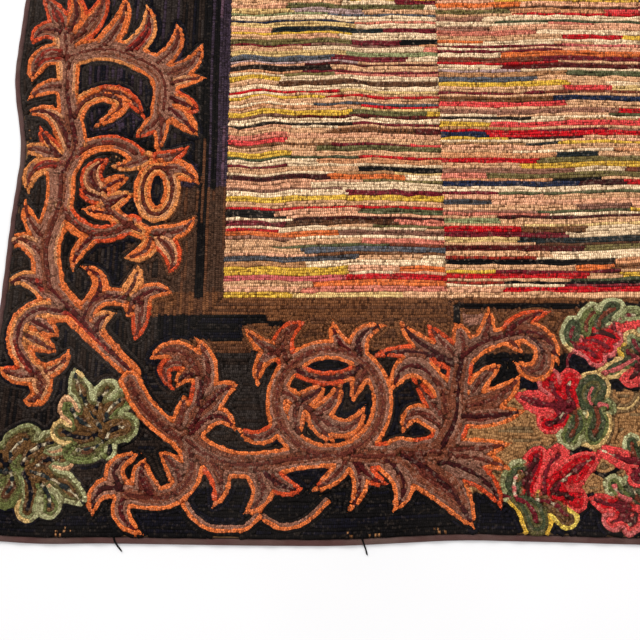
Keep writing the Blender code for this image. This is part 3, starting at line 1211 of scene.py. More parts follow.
def border_rows(side):
    """Straight rows of one border, from the edge inwards."""
    ends = side in ("front", "back")
    line_out, border = (END_LINE, 1000 * END_BORDER) if ends else (SIDE_LINE, 1000 * SIDE_BORDER)
    line_cross, cross = (SIDE_LINE, 1000 * SIDE_BORDER) if ends else (END_LINE, 1000 * END_BORDER)
    count = round((border - HALF_ROW - FIRST_INSET) / ROW) + 1
    for number in range(count):
        part = number / (count - 1)
        inset = FIRST_INSET + part * (border - HALF_ROW - FIRST_INSET)
        reach = line_cross - (FIRST_INSET + part * (cross - HALF_ROW - FIRST_INSET))
        places = np.linspace(-reach, reach, round(2 * reach / PROBE_STEP))
        wander = 0.35 * np.sin(places / 61 + 1.7 * number) + 0.25 * np.sin(places / 23 + 2.9 * number)
        out = line_out - inset + 1000 * pull(side, places * MM) * (1 - part) + wander * min(1, number)
        across = SIGN[side] * out
        yield number, inset, np.column_stack((places, across) if ends else (across, places))


for side in SIDES:
    known = "inset_y" if side in ("front", "back") else "inset_x"
    for number, inset, line in border_rows(side):
        free = whole.smooth_at(whole.depth, line) > GROUND_CLEAR
        for a, b in stretches(free):
            row_number = number + 100 * SIDES.index(side)
            lay_ground(f"ground_{side}", line[a:b], row_number, **{known: inset})
on_border = room(np.column_stack([axis.ravel() for axis in np.broadcast_arrays(*whole.places())]))
wanted = (whole.depth > OVERLAP_ROOM) & (on_border.reshape(whole.shape) > HALF_ROW)
for number, line in enumerate(bare_lines(whole, wanted)):
    keep_row(f"ground_{border_of(*line[0])}", line, ground_wools(line, 5000 + number))

# %% Yarn ends
# Two dark yarn ends hang out over the front edge: in from the side and from the end, and height.
YARN_ENDS = (((487, 12), (490, 3), (493, -7), (495, -13)), ((174, 12), (177, 3), (180, -3), (185, -9)))
YARN_LIFTS = (-0.5, 1.4, -2.4, -2.6)
YARN_GIRTHS = (0.4, 0.32, 0.3, 0.26)
for points in YARN_ENDS:
    ends = np.array(points) - (SIDE_LINE, END_LINE)
    black = np.full(len(ends), WOOL_INDEX["black"])
    store_row("ground_front", ends, black, np.array(YARN_LIFTS), np.array(YARN_GIRTHS))
print("ground rows hooked,", sum(map(len, rows.values())), "rows,", round(time.time() - STARTED, 1), "s")

# %% [markdown]
# ## The striped middle
# The middle is hooked in four columns, each as wide as the maker's frame. A stripe is one or two
# rows of one wool, and changes to another wool somewhere near the middle of its column. Pale
# wools are used most, so the colours look scattered over cream.

# %% Stripes
COLUMNS = 4
STRIPE_STEP = 16.0
STRIPE_ROWS = (1, 1, 1, 2, 2, 2, 2)
PALE_WOOLS = wool_list(
    "cream cream cream cream cream cream cream oat oat oat oat peach fawn blush blush straw")
STRIPE_WOOLS = wool_list(
    "salmon salmon salmon rose coral coral red red red red scarlet scarlet scarlet wine wine wine "
    "wine wine oxblood olive moss moss green bottle sage gold gold gold gold gold gold orange orange "
    "flame slate slate ash navy blue_black brown olive_tan earth chestnut brick black dark_brown "
    "dark_brown grey_brown taupe lilac maroon")
PALE_AFTER_COLOUR = 0.66
PALE_AFTER_PALE = 0.34
CUT_LOW, CUT_HIGH = 0.2, 0.64
SECOND_CUT_SHARE = 0.36
SECOND_CUT_AFTER, LAST_CUT = 0.15, 0.95
CUT_STAGGER = 0.012
STRIPE_LIFT = 0.3
CALM_ROWS = 6
BUTT = 0.2
rng = np.random.default_rng(26)
column_width = 2 * FIELD_X / COLUMNS
stripe_count = round(2 * FIELD_Y / ROW)
was_pale = [True, False, True]    # whether each part of the last stripe was pale


def stripe_parts():
    """Cuts across one stripe, from 0 to 1, and a wool for each length between them. A pale length
    mostly follows a coloured one."""
    cuts = [rng.uniform(CUT_LOW, CUT_HIGH)]
    if rng.random() < SECOND_CUT_SHARE:
        cuts.append(rng.uniform(cuts[0] + SECOND_CUT_AFTER, LAST_CUT))
    wools = []
    for part in range(len(cuts) + 1):
        was_pale[part] = rng.random() < (PALE_AFTER_PALE if was_pale[part] else PALE_AFTER_COLOUR)
        wools.append(rng.choice(PALE_WOOLS if was_pale[part] else STRIPE_WOOLS))
    return [0.0, *cuts, 1.0], wools


def stripe_sway(x, y):
    """How far a row of the middle wanders, in mm: most near the left front part, where it is
    pulled. Each wave has its height in mm and its lengths across and along the rug."""
    pulled = np.exp(-((x + 560) / 160) ** 2) * (0.4 + np.exp(-((y + 760) / 130) ** 2))
    slow = 1.6 * np.sin(x / 63 + y / 210) + 0.8 * np.sin(x / 29 + y / 90 + 1.0)
    return slow + pulled * (2.2 * np.sin(x / 21 + y / 47) + 1.2 * np.sin(x / 11 + y / 33))


# %% Hooking the stripes
for column in range(COLUMNS):
    left = -FIELD_X + column * column_width
    rows_left = 0
    for number in range(stripe_count):
        if rows_left == 0:
            rows_left = int(rng.choice(STRIPE_ROWS))
            cuts, wools = stripe_parts()
            stripe_lift = rng.uniform(-STRIPE_LIFT, STRIPE_LIFT)
        rows_left -= 1
        y = -FIELD_Y + (number + 0.5) * 2 * FIELD_Y / stripe_count
        calm = min(1, number / CALM_ROWS, (stripe_count - 1 - number) / CALM_ROWS)
        cut_places = [left + column_width * (cut + rng.uniform(-CUT_STAGGER, CUT_STAGGER) * (0 < cut < 1))
                      for cut in cuts]
        for start, end, wool in zip(cut_places, cut_places[1:], wools):
            count = max(2, round((end - start) / STRIPE_STEP) + 1)
            xs = np.linspace(start + BUTT, end - BUTT, count)
            line = np.column_stack((xs, y + stripe_sway(xs, y) * calm))
            keep_row(f"stripes_column_{column + 1}", line, wool, stripe_lift)
print("stripes hooked,", sum(map(len, rows.values())), "rows,", round(time.time() - STARTED, 1), "s")

# %% [markdown]
# ## Giving the rows their body
# A thousand metres of rows need one rule, so Geometry Nodes make them. Each line becomes a curve,
# and a small arch is swept along it: the shape of a row of loops seen from its end. The curve's
# own girth closes the ends. The loops themselves are 3 mm apart and come from the material.

# %% The tree that sweeps a row
ROW_FOOT = 0.0032
CROWN = -2.0    # a bow reaches half its handle's height, and the swept profile's own Y points down
# For each kind of piece: row width, row rise, steps of the arch, how rough its loops stand.
ROW_MAKES = {
    "stripes": (0.0078, 0.0042, 2, 0.62),
    "ground": (0.0078, 0.0038, 2, 0.30),
    "motif": (0.0092, 0.0042, 2, 0.44),
}


def socket_id(tree, name):
    """Identifier of a named input of a geometry tree."""
    return next(item.identifier for item in tree.interface.items_tree if item.name == name)


def build_row_tree():
    """Input lines become curves, and an arch is swept along each, scaled by its girth."""
    tree = bpy.data.node_groups.new("hooked_rows", "GeometryNodeTree")
    tree.interface.new_socket("Geometry", in_out="INPUT", socket_type="NodeSocketGeometry")
    for name, value in (("Row Width", 0.008), ("Row Rise", 0.004)):
        size = tree.interface.new_socket(name, in_out="INPUT", socket_type="NodeSocketFloat")
        size.default_value = value
    steps = tree.interface.new_socket("Arch Steps", in_out="INPUT", socket_type="NodeSocketInt")
    steps.default_value = 3
    tree.interface.new_socket("Finish", in_out="INPUT", socket_type="NodeSocketMaterial")
    tree.interface.new_socket("Geometry", in_out="OUTPUT", socket_type="NodeSocketGeometry")
    new, link = tree.nodes.new, tree.links.new
    given, result = new("NodeGroupInput"), new("NodeGroupOutput")

    # The arch is a bow from one foot of the row over its crown to the other foot.
    arch = new("GeometryNodeCurveQuadraticBezier")
    link(given.outputs["Arch Steps"], arch.inputs["Resolution"])
    for point, label, factor, axis in (("Start", "Row Width", -0.5, "X"), ("Middle", "Row Rise", CROWN, "Y"),
                                       ("End", "Row Width", 0.5, "X")):
        scaled = new("ShaderNodeMath")
        scaled.operation = "MULTIPLY"
        scaled.inputs[1].default_value = factor
        link(given.outputs[label], scaled.inputs[0])
        place = new("ShaderNodeCombineXYZ")
        link(scaled.outputs[0], place.inputs[axis])
        link(place.outputs[0], arch.inputs[point])
    factor = new("GeometryNodeSplineParameter")
    store = new("GeometryNodeStoreNamedAttribute")
    store.data_type = "FLOAT"
    store.domain = "POINT"
    store.inputs["Name"].default_value = "across"
    link(arch.outputs[0], store.inputs["Geometry"])
    link(factor.outputs["Factor"], store.inputs["Value"])

    to_curve = new("GeometryNodeMeshToCurve")
    link(given.outputs["Geometry"], to_curve.inputs[0])
    upright = new("GeometryNodeSetCurveNormal")
    upright.mode = "Z_UP"
    link(to_curve.outputs[0], upright.inputs["Curve"])
    girth = new("GeometryNodeInputNamedAttribute")
    girth.data_type = "FLOAT"
    girth.inputs["Name"].default_value = "girth"
    sweep = new("GeometryNodeCurveToMesh")
    link(upright.outputs[0], sweep.inputs["Curve"])
    link(store.outputs[0], sweep.inputs["Profile Curve"])
    link(girth.outputs["Attribute"], sweep.inputs["Scale"])
    smooth = new("GeometryNodeSetShadeSmooth")
    link(sweep.outputs[0], smooth.inputs["Geometry"])
    realize = new("GeometryNodeRealizeInstances")
    link(smooth.outputs[0], realize.inputs[0])
    finish = new("GeometryNodeSetMaterial")
    link(realize.outputs[0], finish.inputs["Geometry"])
    link(given.outputs["Finish"], finish.inputs["Material"])
    link(finish.outputs[0], result.inputs[0])
    return tree


row_tree = build_row_tree()

# %% [markdown]
# ## Wool, loop by loop
# One shader group draws the loops. It reads how far along and across a row a place is, cuts the
# row into loops and gives each a slightly different shade, with painted shade in the dips between
# loops and down the sides of the row. The same value, as height, lets the light catch every loop.

# %% Small helpers for shader trees
LOOP_PITCH = 0.0028
NUB_SCALE = 330.0


def new_group(name, inputs, outputs):
    """A shader group with named inputs (name, kind, value) and outputs (name, kind)."""
    tree = bpy.data.node_groups.new(name, "ShaderNodeTree")
    for label, kind, value in inputs:
        made = tree.interface.new_socket(label, in_out="INPUT", socket_type=f"NodeSocket{kind}")
        made.default_value = value
    for label, kind in outputs:
        tree.interface.new_socket(label, in_out="OUTPUT", socket_type=f"NodeSocket{kind}")
    return tree, tree.nodes.new("NodeGroupInput").outputs, tree.nodes.new("NodeGroupOutput").inputs


def maths(tree, operation, first, second=None, third=None):
    """A Math node; its inputs are sockets or numbers. Returns its output."""
    node = tree.nodes.new("ShaderNodeMath")
    node.operation = operation
    for socket, value in zip(node.inputs, (first, second, third)):
        if value is None:
            continue
        if isinstance(value, (int, float)):
            socket.default_value = value
        else:
            tree.links.new(value, socket)
    return node.outputs[0]


def remap(tree, value, low, high, new_low, new_high):
    """A clamped Map Range node. Returns its result."""
    node = tree.nodes.new("ShaderNodeMapRange")
    node.clamp = True
    tree.links.new(value, node.inputs["Value"])
    ends = {"From Min": low, "From Max": high, "To Min": new_low, "To Max": new_high}
    for label, number in ends.items():
        node.inputs[label].default_value = number
    return node.outputs["Result"]


def tinted(tree, blend, factor, first, second):
    """A colour Mix node. Returns its result."""
    node = tree.nodes.new("ShaderNodeMix")
    node.data_type = "RGBA"
    node.blend_type = blend
    for label, kind, value in (("Factor", "VALUE", factor), ("A", "RGBA", first), ("B", "RGBA", second)):
        socket = next(s for s in node.inputs if s.name == label and s.type == kind)
        if isinstance(value, (int, float)):
            socket.default_value = value
        elif isinstance(value, tuple):
            socket.default_value = (*value, 1.0)[:4]
        else:
            tree.links.new(value, socket)
    return next(s for s in node.outputs if s.type == "RGBA")


def noise(tree, scale, detail, place=None):
    """A Noise Texture on object coordinates, unless a place is given. Returns its value."""
    node = tree.nodes.new("ShaderNodeTexNoise")
    node.inputs["Scale"].default_value = scale
    node.inputs["Detail"].default_value = detail
    if place is None:
        place = tree.nodes.new("ShaderNodeTexCoord").outputs["Object"]
    tree.links.new(place, node.inputs["Vector"])
    return node.outputs["Fac"]


# %% The loop group
LANE_STAGGER = 20.5
# The painted shade is warmed, like the burlap's brown showing between loops, and the brightest places are
# cooled.
PAINTED_SHADE_WARMTH = (0.94, 1.06, 1.18)    # dark places turn warm: the powers of red, green and blue
FLECK_COLOUR = (0.66, 0.46, 0.32)
# Lifts every loop to make up for the darkening by painted shade; the tops of loops come out lighter than the
# wool itself.
BRIGHTNESS = 1.26


def build_loop_group():
    """Colour, height and roughness of hooked loops, from a place's way along and across its row."""
    tree, given, result = new_group(
        "loop_rows",
        (("Along", "Float", 0.0), ("Across", "Float", 0.5), ("Row", "Float", 0.0),
         ("Wool", "Color", (0.5, 0.5, 0.5, 1)),
         ("Pitch", "Float", LOOP_PITCH), ("Lean", "Float", 0.35), ("Dip Shade", "Float", 0.35),
         ("Gap Shade", "Float", 0.4), ("Loop Variety", "Float", 0.5), ("Fleck", "Float", 0.2),
         ("Split", "Float", 0.0)),
        (("Color", "Color"), ("Height", "Float"), ("Roughness", "Float")))
    row_noise = tree.nodes.new("ShaderNodeTexWhiteNoise")
    row_noise.noise_dimensions = "1D"
    tree.links.new(given["Row"], row_noise.inputs["W"])
    # Count loops along the row: they lean, each row starts elsewhere, and fibres fray their edges.
    beats = maths(tree, "DIVIDE", given["Along"], given["Pitch"])
    lean = maths(tree, "MULTIPLY", given["Across"], given["Lean"])
    row_start = maths(tree, "MULTIPLY", row_noise.outputs["Value"], 9.0)
    beats = maths(tree, "ADD", maths(tree, "ADD", beats, lean), row_start)
    fibre = noise(tree, 700.0, 3.0)
    beats = maths(tree, "MULTIPLY_ADD", fibre, 0.8, beats)
    lane = maths(tree, "MULTIPLY", maths(tree, "GREATER_THAN", given["Across"], 0.5), given["Split"])
    beats = maths(tree, "MULTIPLY_ADD", lane, LANE_STAGGER, beats)
    number = maths(tree, "FLOOR", beats)
    part = maths(tree, "FRACT", beats)
    loop_noise = tree.nodes.new("ShaderNodeTexWhiteNoise")
    loop_noise.noise_dimensions = "2D"
    pair = tree.nodes.new("ShaderNodeCombineXYZ")
    tree.links.new(number, pair.inputs["X"])
    tree.links.new(given["Row"], pair.inputs["Y"])
    tree.links.new(pair.outputs[0], loop_noise.inputs["Vector"])
    chance = loop_noise.outputs["Value"]
    # A loop bulges along the row, and the row itself has a crest. Both paint shade: into the dips between
    # loops and down the sides of each row.
    centred = maths(tree, "MULTIPLY_ADD", part, 2.0, -1.0)
    bulge = maths(tree, "SUBTRACT", 1.0, maths(tree, "MULTIPLY", centred, centred))
    bulge = maths(tree, "POWER", bulge, 0.6)
    side = maths(tree, "MULTIPLY_ADD", given["Across"], 2.0, -1.0)
    crest = maths(tree, "SUBTRACT", 1.0, maths(tree, "MULTIPLY", side, side))
    crest = maths(tree, "POWER", crest, 0.7)
    # Painted shade in the dips between loops: the Dip Shade is the colour left at the bottom of a dip.
    shade = remap(tree, bulge, 0.0, 0.75, 0.0, 1.0)
    lit = maths(tree, "SUBTRACT", 1.0, given["Dip Shade"])
    shade = maths(tree, "MULTIPLY_ADD", shade, lit, given["Dip Shade"])
    # Painted shade down the sides of each row, where it meets the next: the Gap Shade is what is left there.
    uneven = maths(tree, "MULTIPLY_ADD", maths(tree, "SUBTRACT", chance, 0.5), 0.12, crest)
    gap = remap(tree, uneven, 0.76, 0.97, 0.0, 1.0)
    lit = maths(tree, "SUBTRACT", 1.0, given["Gap Shade"])
    gap = maths(tree, "MULTIPLY_ADD", gap, lit, given["Gap Shade"])
    shade = maths(tree, "MULTIPLY", shade, gap)
    # Painted shade along the parting between the two lanes of a split row.
    groove = remap(tree, maths(tree, "ABSOLUTE", side), 0.0, 0.15, 0.36, 0.0)
    parting = maths(tree, "SUBTRACT", 1.0, maths(tree, "MULTIPLY", groove, given["Split"]))
    shade = maths(tree, "MULTIPLY", shade, parting)
    variety = maths(tree, "MULTIPLY", maths(tree, "SUBTRACT", chance, 0.5), given["Loop Variety"])
    # Painted light and shade on round nubs of wool; a chance for each row, loop and fibre varies the tone.
    nubs = tree.nodes.new("ShaderNodeTexVoronoi")
    nubs.voronoi_dimensions = "2D"
    nubs.feature = "F1"
    nubs.inputs["Scale"].default_value = NUB_SCALE
    tree.links.new(tree.nodes.new("ShaderNodeTexCoord").outputs["Object"], nubs.inputs["Vector"])
    nub = remap(tree, nubs.outputs["Distance"], 0.15, 0.75, 1.12, 0.62)
    bright = maths(tree, "MULTIPLY", shade, maths(tree, "ADD", BRIGHTNESS, variety))
    for cause in (nub, remap(tree, row_noise.outputs["Value"], 0.0, 1.0, 0.86, 1.12),
                  remap(tree, chance, 0.06, 0.16, 0.5, 1.0), remap(tree, fibre, 0.3, 0.7, 0.82, 1.18)):
        bright = maths(tree, "MULTIPLY", bright, cause)
    scale = tree.nodes.new("ShaderNodeCombineXYZ")
    for axis, warmth in zip("XYZ", PAINTED_SHADE_WARMTH):
        tree.links.new(maths(tree, "POWER", bright, warmth), scale.inputs[axis])
    cell = tree.nodes.new("ShaderNodeSeparateColor")
    tree.links.new(nubs.outputs["Color"], cell.inputs[0])
    pale = maths(tree, "MULTIPLY", remap(tree, cell.outputs[0], 0.80, 0.86, 0.0, 1.0), given["Fleck"])
    flecked = tinted(tree, "MIX", pale, given["Wool"], FLECK_COLOUR)
    tree.links.new(tinted(tree, "MULTIPLY", 1.0, flecked, scale.outputs[0]), result["Color"])
    height = maths(tree, "MULTIPLY", bulge, remap(tree, crest, 0.0, 1.0, 0.2, 1.0))
    height = maths(tree, "MULTIPLY_ADD", maths(tree, "SUBTRACT", chance, 0.5), 0.35, height)
    tree.links.new(maths(tree, "MULTIPLY_ADD", fibre, 0.25, height), result["Height"])
    tree.links.new(remap(tree, chance, 0.0, 1.0, 0.82, 1.0), result["Roughness"])
    return tree


loop_group = build_loop_group()

# %% [markdown]
# Years of light and feet have changed the wool a little from place to place. A second group, which
# every material of the rug uses, fades and soils a colour in slow clouds.

# %% The fading group
FADED_COLOUR = (0.30, 0.25, 0.20)
SOIL_COLOUR = (0.55, 0.47, 0.38)


def build_fade_group():
    tree, given, result = new_group(
        "faded_and_soiled",
        (("Color", "Color", (0.5, 0.5, 0.5, 1)), ("Cloud Scale", "Float", 6.0), ("Fade", "Float", 0.25),
         ("Soil", "Float", 0.2)),
        (("Color", "Color"),))
    coordinates = tree.nodes.new("ShaderNodeTexCoord").outputs["Object"]
    clouds = tree.nodes.new("ShaderNodeTexNoise")
    clouds.inputs["Detail"].default_value = 3.0
    tree.links.new(coordinates, clouds.inputs["Vector"])
    tree.links.new(given["Cloud Scale"], clouds.inputs["Scale"])
    fine = noise(tree, 60.0, 2.0, coordinates)
    cloudy = remap(tree, clouds.outputs["Fac"], 0.45, 0.75, 0.0, 1.0)
    pale = maths(tree, "MULTIPLY", cloudy, given["Fade"])
    dull = maths(tree, "MULTIPLY", remap(tree, fine, 0.45, 0.75, 0.0, 1.0), given["Soil"])
    faded = tinted(tree, "MIX", pale, given["Color"], FADED_COLOUR)
    tree.links.new(tinted(tree, "MULTIPLY", dull, faded, SOIL_COLOUR), result["Color"])
    return tree


fade_group = build_fade_group()


# %% Helpers for materials
def use_group(tree, group, **values):
    """Place a group in a tree and feed its inputs, with _ in a name for a space."""
    node = tree.nodes.new("ShaderNodeGroup")
    node.node_tree = group
    for label, value in values.items():
        socket = node.inputs[label.replace("_", " ")]
        if isinstance(value, bpy.types.NodeSocket):
            tree.links.new(value, socket)
        else:
            socket.default_value = value
    return node.outputs


def start_material(name, sheen=0.0):
    """A new material with its Principled shader. Values that never change are set on the shader."""
    made = bpy.data.materials.new(name)
    made.use_nodes = True
    shader = made.node_tree.nodes["Principled BSDF"]
    shader.inputs["Metallic"].default_value = 0.0
    shader.inputs["Specular IOR Level"].default_value = 0.1
    shader.inputs["Sheen Weight"].default_value = sheen
    shader.inputs["Sheen Roughness"].default_value = 0.5
    return made, made.node_tree, shader


def bump(tree, height, depth):
    """A Bump node for a height of 0 to 1 and its depth in metres. Returns its normal."""
    node = tree.nodes.new("ShaderNodeBump")
    node.inputs["Distance"].default_value = depth
    tree.links.new(height, node.inputs["Height"])
    return node.outputs["Normal"]


def attribute(tree, name, output="Fac"):
    node = tree.nodes.new("ShaderNodeAttribute")
    node.attribute_name = name
    return node.outputs[output]


# %% Hooked wool
WOOL_SOIL = 0.25
LOOP_DEPTH = 0.0012
# For each kind of piece: material, painted shade in the dips between loops and in the gaps between
# rows, variety of loops, flecks, fading, and 1 where a row is split into two staggered lanes of loops.
WOOL_MAKES = {
    "motif": ("hooked_wool_motifs", 0.36, 0.58, 0.85, 0.14, 0.06, 1.0),
    "stripes": ("hooked_wool_stripes", 0.26, 0.28, 0.80, 0.12, 0.06, 0.0),
    "ground": ("hooked_wool_ground", 0.35, 0.50, 0.90, 0.022, 0.03, 0.0),
}


def build_wool(name, dip_shade, gap_shade, variety, fleck, fade, split):
    made, tree, shader = start_material(name)
    loops = use_group(tree, loop_group, Along=attribute(tree, "along"), Across=attribute(tree, "across"),
                      Row=attribute(tree, "row"), Wool=attribute(tree, "wool", "Color"),
                      Dip_Shade=dip_shade, Gap_Shade=gap_shade, Loop_Variety=variety, Fleck=fleck,
                      Split=split)
    aged = use_group(tree, fade_group, Color=loops["Color"], Fade=fade, Soil=WOOL_SOIL)
    tree.links.new(aged["Color"], shader.inputs["Base Color"])
    tree.links.new(loops["Roughness"], shader.inputs["Roughness"])
    tree.links.new(bump(tree, loops["Height"], LOOP_DEPTH), shader.inputs["Normal"])
    return made


WOOL_FINISHES = {kind: build_wool(*make) for kind, make in WOOL_MAKES.items()}
print("wool materials", [finish.name for finish in WOOL_FINISHES.values()])

# %% [markdown]
# Each piece's lines become one mesh of loose edges that carries the wools, the distance run and
# the girth on its points. The tree sweeps it, and the result is kept as a plain mesh. Its own map,
# laid flat from above, lets the whole colour of the piece be baked sharply.

# %% Points and values of the rows
END_REACH = 1.4
END_GIRTH = 0.06
WAVE_LIFT = 0.0006
STRAY = 0.8                    # how far a point strays, in mm, for a roughness of 1
GIRTH_STRAY = 0.25
GIRTH_LIMITS = (0.75, 1.3)


def floor_wave(x, y):
    """Slow swells of a rug that has been walked on, in metres. x and y are in mm."""
    wave = np.sin(x / 310 + 0.7) * np.sin(y / 370 + 1.1) + 0.5 * np.sin(x / 150 - y / 210 + 2.0)
    return WAVE_LIFT * (1.5 + wave)


def kind_of(name):
    """Stripes, ground or motif, from the first word of a piece's name."""
    first_word = name.split("_")[0]
    return first_word if first_word in ROW_MAKES else "motif"


def row_arrays(row_list, roughness):
    """Points, edges and values of all rows of a piece, with a sunk extra point at both ends."""
    places, edges, wools, alongs, numbers, girths = [], [], [], [], [], []
    base = 0
    rough = np.random.default_rng(len(row_list))
    for number, (line, wool, lift, girth) in enumerate(row_list):
        start, end = line[0] - line[1], line[-1] - line[-2]
        line = np.vstack((line[0] + END_REACH * start / np.linalg.norm(start), line,
                          line[-1] + END_REACH * end / np.linalg.norm(end)))
        count = len(line)
        ahead = np.gradient(line, axis=0)
        step = np.maximum(np.hypot(*ahead.T), 1e-6)[:, None]
        aside = np.column_stack((-ahead[:, 1], ahead[:, 0])) / step
        line = line + aside * (rough.normal(0, roughness, count) * STRAY)[:, None]
        lift = np.concatenate((lift[:1], lift, lift[-1:])) + rough.normal(0, roughness, count) * STRAY
        girth = np.clip(1 + rough.normal(0, roughness, count - 2) * GIRTH_STRAY, *GIRTH_LIMITS) * girth
        height = ROW_FOOT + floor_wave(*line.T) + MM * lift
        places.append(np.column_stack((line * MM - CENTRE, height)))
        edges.append(base + np.column_stack((np.arange(count - 1), np.arange(1, count))))
        wools.append(WOOL_LINEAR[np.concatenate((wool[:1], wool, wool[-1:]))])
        alongs.append(lengths(line) * MM)
        numbers.append(np.full(count, number + 0.5))
        girths.append(np.concatenate(([END_GIRTH], girth, [END_GIRTH])))
        base += count
    return [np.concatenate(parts) for parts in (places, edges, wools, alongs, numbers, girths)]


# %% Sweeping the rows of every piece
def planar_map(mesh, name="OFBake"):
    """A map laid flat from above that fills the square."""
    points = np.empty(3 * len(mesh.vertices), np.float32)
    mesh.vertices.foreach_get("co", points)
    points = points.reshape(-1, 3)[:, :2]
    low, high = points.min(axis=0), points.max(axis=0)
    flat = (points - low) / (high - low)
    corners = np.empty(len(mesh.loops), np.int32)
    mesh.loops.foreach_get("vertex_index", corners)
    layer = mesh.uv_layers.new(name=name)
    layer.data.foreach_set("uv", flat[corners].ravel())


def plain_mesh(source, name):
    """The evaluated object as a plain mesh object at the origin; the source is removed."""
    graph = bpy.context.evaluated_depsgraph_get()
    mesh = bpy.data.meshes.new_from_object(source.evaluated_get(graph), preserve_all_data_layers=True,
                                           depsgraph=graph)
    mesh.name = name
    lines = source.data
    bpy.data.objects.remove(source)
    bpy.data.meshes.remove(lines)
    return add_object(name, mesh)


def sweep_rows(name, row_list, finish):
    """All rows of a piece as one swept mesh."""
    width, rise, steps, roughness = ROW_MAKES[kind_of(name)]
    places, edges, wools, alongs, numbers, girths = row_arrays(row_list, roughness)
    mesh = bpy.data.meshes.new(name + "_lines")
    mesh.from_pydata(places.tolist(), edges.tolist(), [])
    colours = np.column_stack((wools, np.ones(len(wools)))).ravel().astype(np.float32)
    mesh.attributes.new("wool", "FLOAT_COLOR", "POINT").data.foreach_set("color", colours)
    for label, values in (("along", alongs), ("row", numbers), ("girth", girths)):
        mesh.attributes.new(label, "FLOAT", "POINT").data.foreach_set("value", values.astype(np.float32))
    lines = add_object(name + "_lines", mesh)
    modifier = lines.modifiers.new("rows", "NODES")
    modifier.node_group = row_tree
    sizes = {"Row Width": width, "Row Rise": rise, "Arch Steps": steps, "Finish": finish}
    for label, value in sizes.items():
        modifier[socket_id(row_tree, label)] = value
    piece = plain_mesh(lines, name)
    planar_map(piece.data)
    return piece


def triangles(piece):
    return sum(len(face.vertices) - 2 for face in piece.data.polygons)


row_pieces = []
added = 0
for name, row_list in rows.items():
    piece = sweep_rows(name, row_list, WOOL_FINISHES[kind_of(name)])
    row_pieces.append(piece)
    corners = len(piece.data.loops)
    added += corners // 2
    print(name, len(row_list), "rows,", corners // 2, "triangles")
print("rows swept:", added, "triangles,", round(time.time() - STARTED, 1), "s")

# %% [markdown]
# ## The woven ground and the tape
# Under the rows lies a loose plain weave. It shows where loops have worn away, at the edge and
# from below. The edge is bound by a cotton tape, folded over the raw edge and sewn down on both
# faces, so it puckers slightly between stitches.

# %% The weave group
def build_weave_group():
    """Threads that pass over and under each other; a slant turns plain weave to twill."""
    tree, given, result = new_group(
        "plain_weave",
        (("Thread Pitch", "Float", 0.0016), ("Twill Slant", "Float", 0.0),
         ("Thread", "Color", (0.3, 0.2, 0.1, 1)), ("Gap", "Color", (0.05, 0.03, 0.02, 1))),
        (("Color", "Color"), ("Height", "Float")))
    split = tree.nodes.new("ShaderNodeSeparateXYZ")
    tree.links.new(tree.nodes.new("ShaderNodeTexCoord").outputs["Object"], split.inputs[0])
    turned = maths(tree, "MULTIPLY_ADD", split.outputs["Y"], given["Twill Slant"], split.outputs["X"])
    waves = []
    for value in (turned, split.outputs["Y"]):
        angle = maths(tree, "MULTIPLY", maths(tree, "DIVIDE", value, given["Thread Pitch"]), math.pi)
        waves.append(maths(tree, "SINE", angle))
    over = maths(tree, "MULTIPLY", *waves)
    lump = maths(tree, "MULTIPLY", maths(tree, "ABSOLUTE", waves[0]), maths(tree, "ABSOLUTE", waves[1]))
    slub = noise(tree, 240.0, 3.0)
    height = maths(tree, "MULTIPLY_ADD", slub, 0.5, maths(tree, "MULTIPLY_ADD", over, 0.25, lump))
    tree.links.new(height, result["Height"])
    # Painted shade: where the weave lies low between its threads, the Gap colour is used.
    mask = remap(tree, height, 0.15, 0.75, 0.0, 1.0)
    tree.links.new(tinted(tree, "MIX", mask, given["Gap"], given["Thread"]), result["Color"])
    return tree


weave_group = build_weave_group()


def build_cloth(name, thread, gap, pitch, slant, fade):
    made, tree, shader = start_material(name, sheen=0.1)
    weave = use_group(tree, weave_group, Thread=(*linear(thread), 1), Gap=(*linear(gap), 1),
                      Thread_Pitch=pitch, Twill_Slant=slant)
    aged = use_group(tree, fade_group, Color=weave["Color"], Cloud_Scale=14.0, Fade=fade, Soil=0.5)
    tree.links.new(aged["Color"], shader.inputs["Base Color"])
    tree.links.new(remap(tree, weave["Height"], 0.0, 1.0, 0.98, 0.85), shader.inputs["Roughness"])
    tree.links.new(bump(tree, weave["Height"], 0.0005), shader.inputs["Normal"])
    return made


# The burlap's threads are its own tan darkened by painted shade, for the shade it lies in under the rows.
# The gap colours of both cloths are painted shade between threads.
burlap = build_cloth("burlap_ground", (122, 92, 58), (40, 28, 18), 0.0017, 0.0, 0.2)
tape_cotton = build_cloth("cotton_twill_tape", (112, 74, 68), (70, 42, 40), 0.0007, 0.6, 0.3)

# %% The woven ground
FOUNDATION_TOP = 0.0030
FOUNDATION_INSET = TAPE_SHOWS + 0.0012
UNDER_STEP = TAPE_THICK + SEWN_GAP + 0.0002
UNDER_REST = 0.0004
FLAP_REACH = TAPE_SHOWS + TAPE_UNDER + 0.013
GROUND_CELLS = (50, 76)


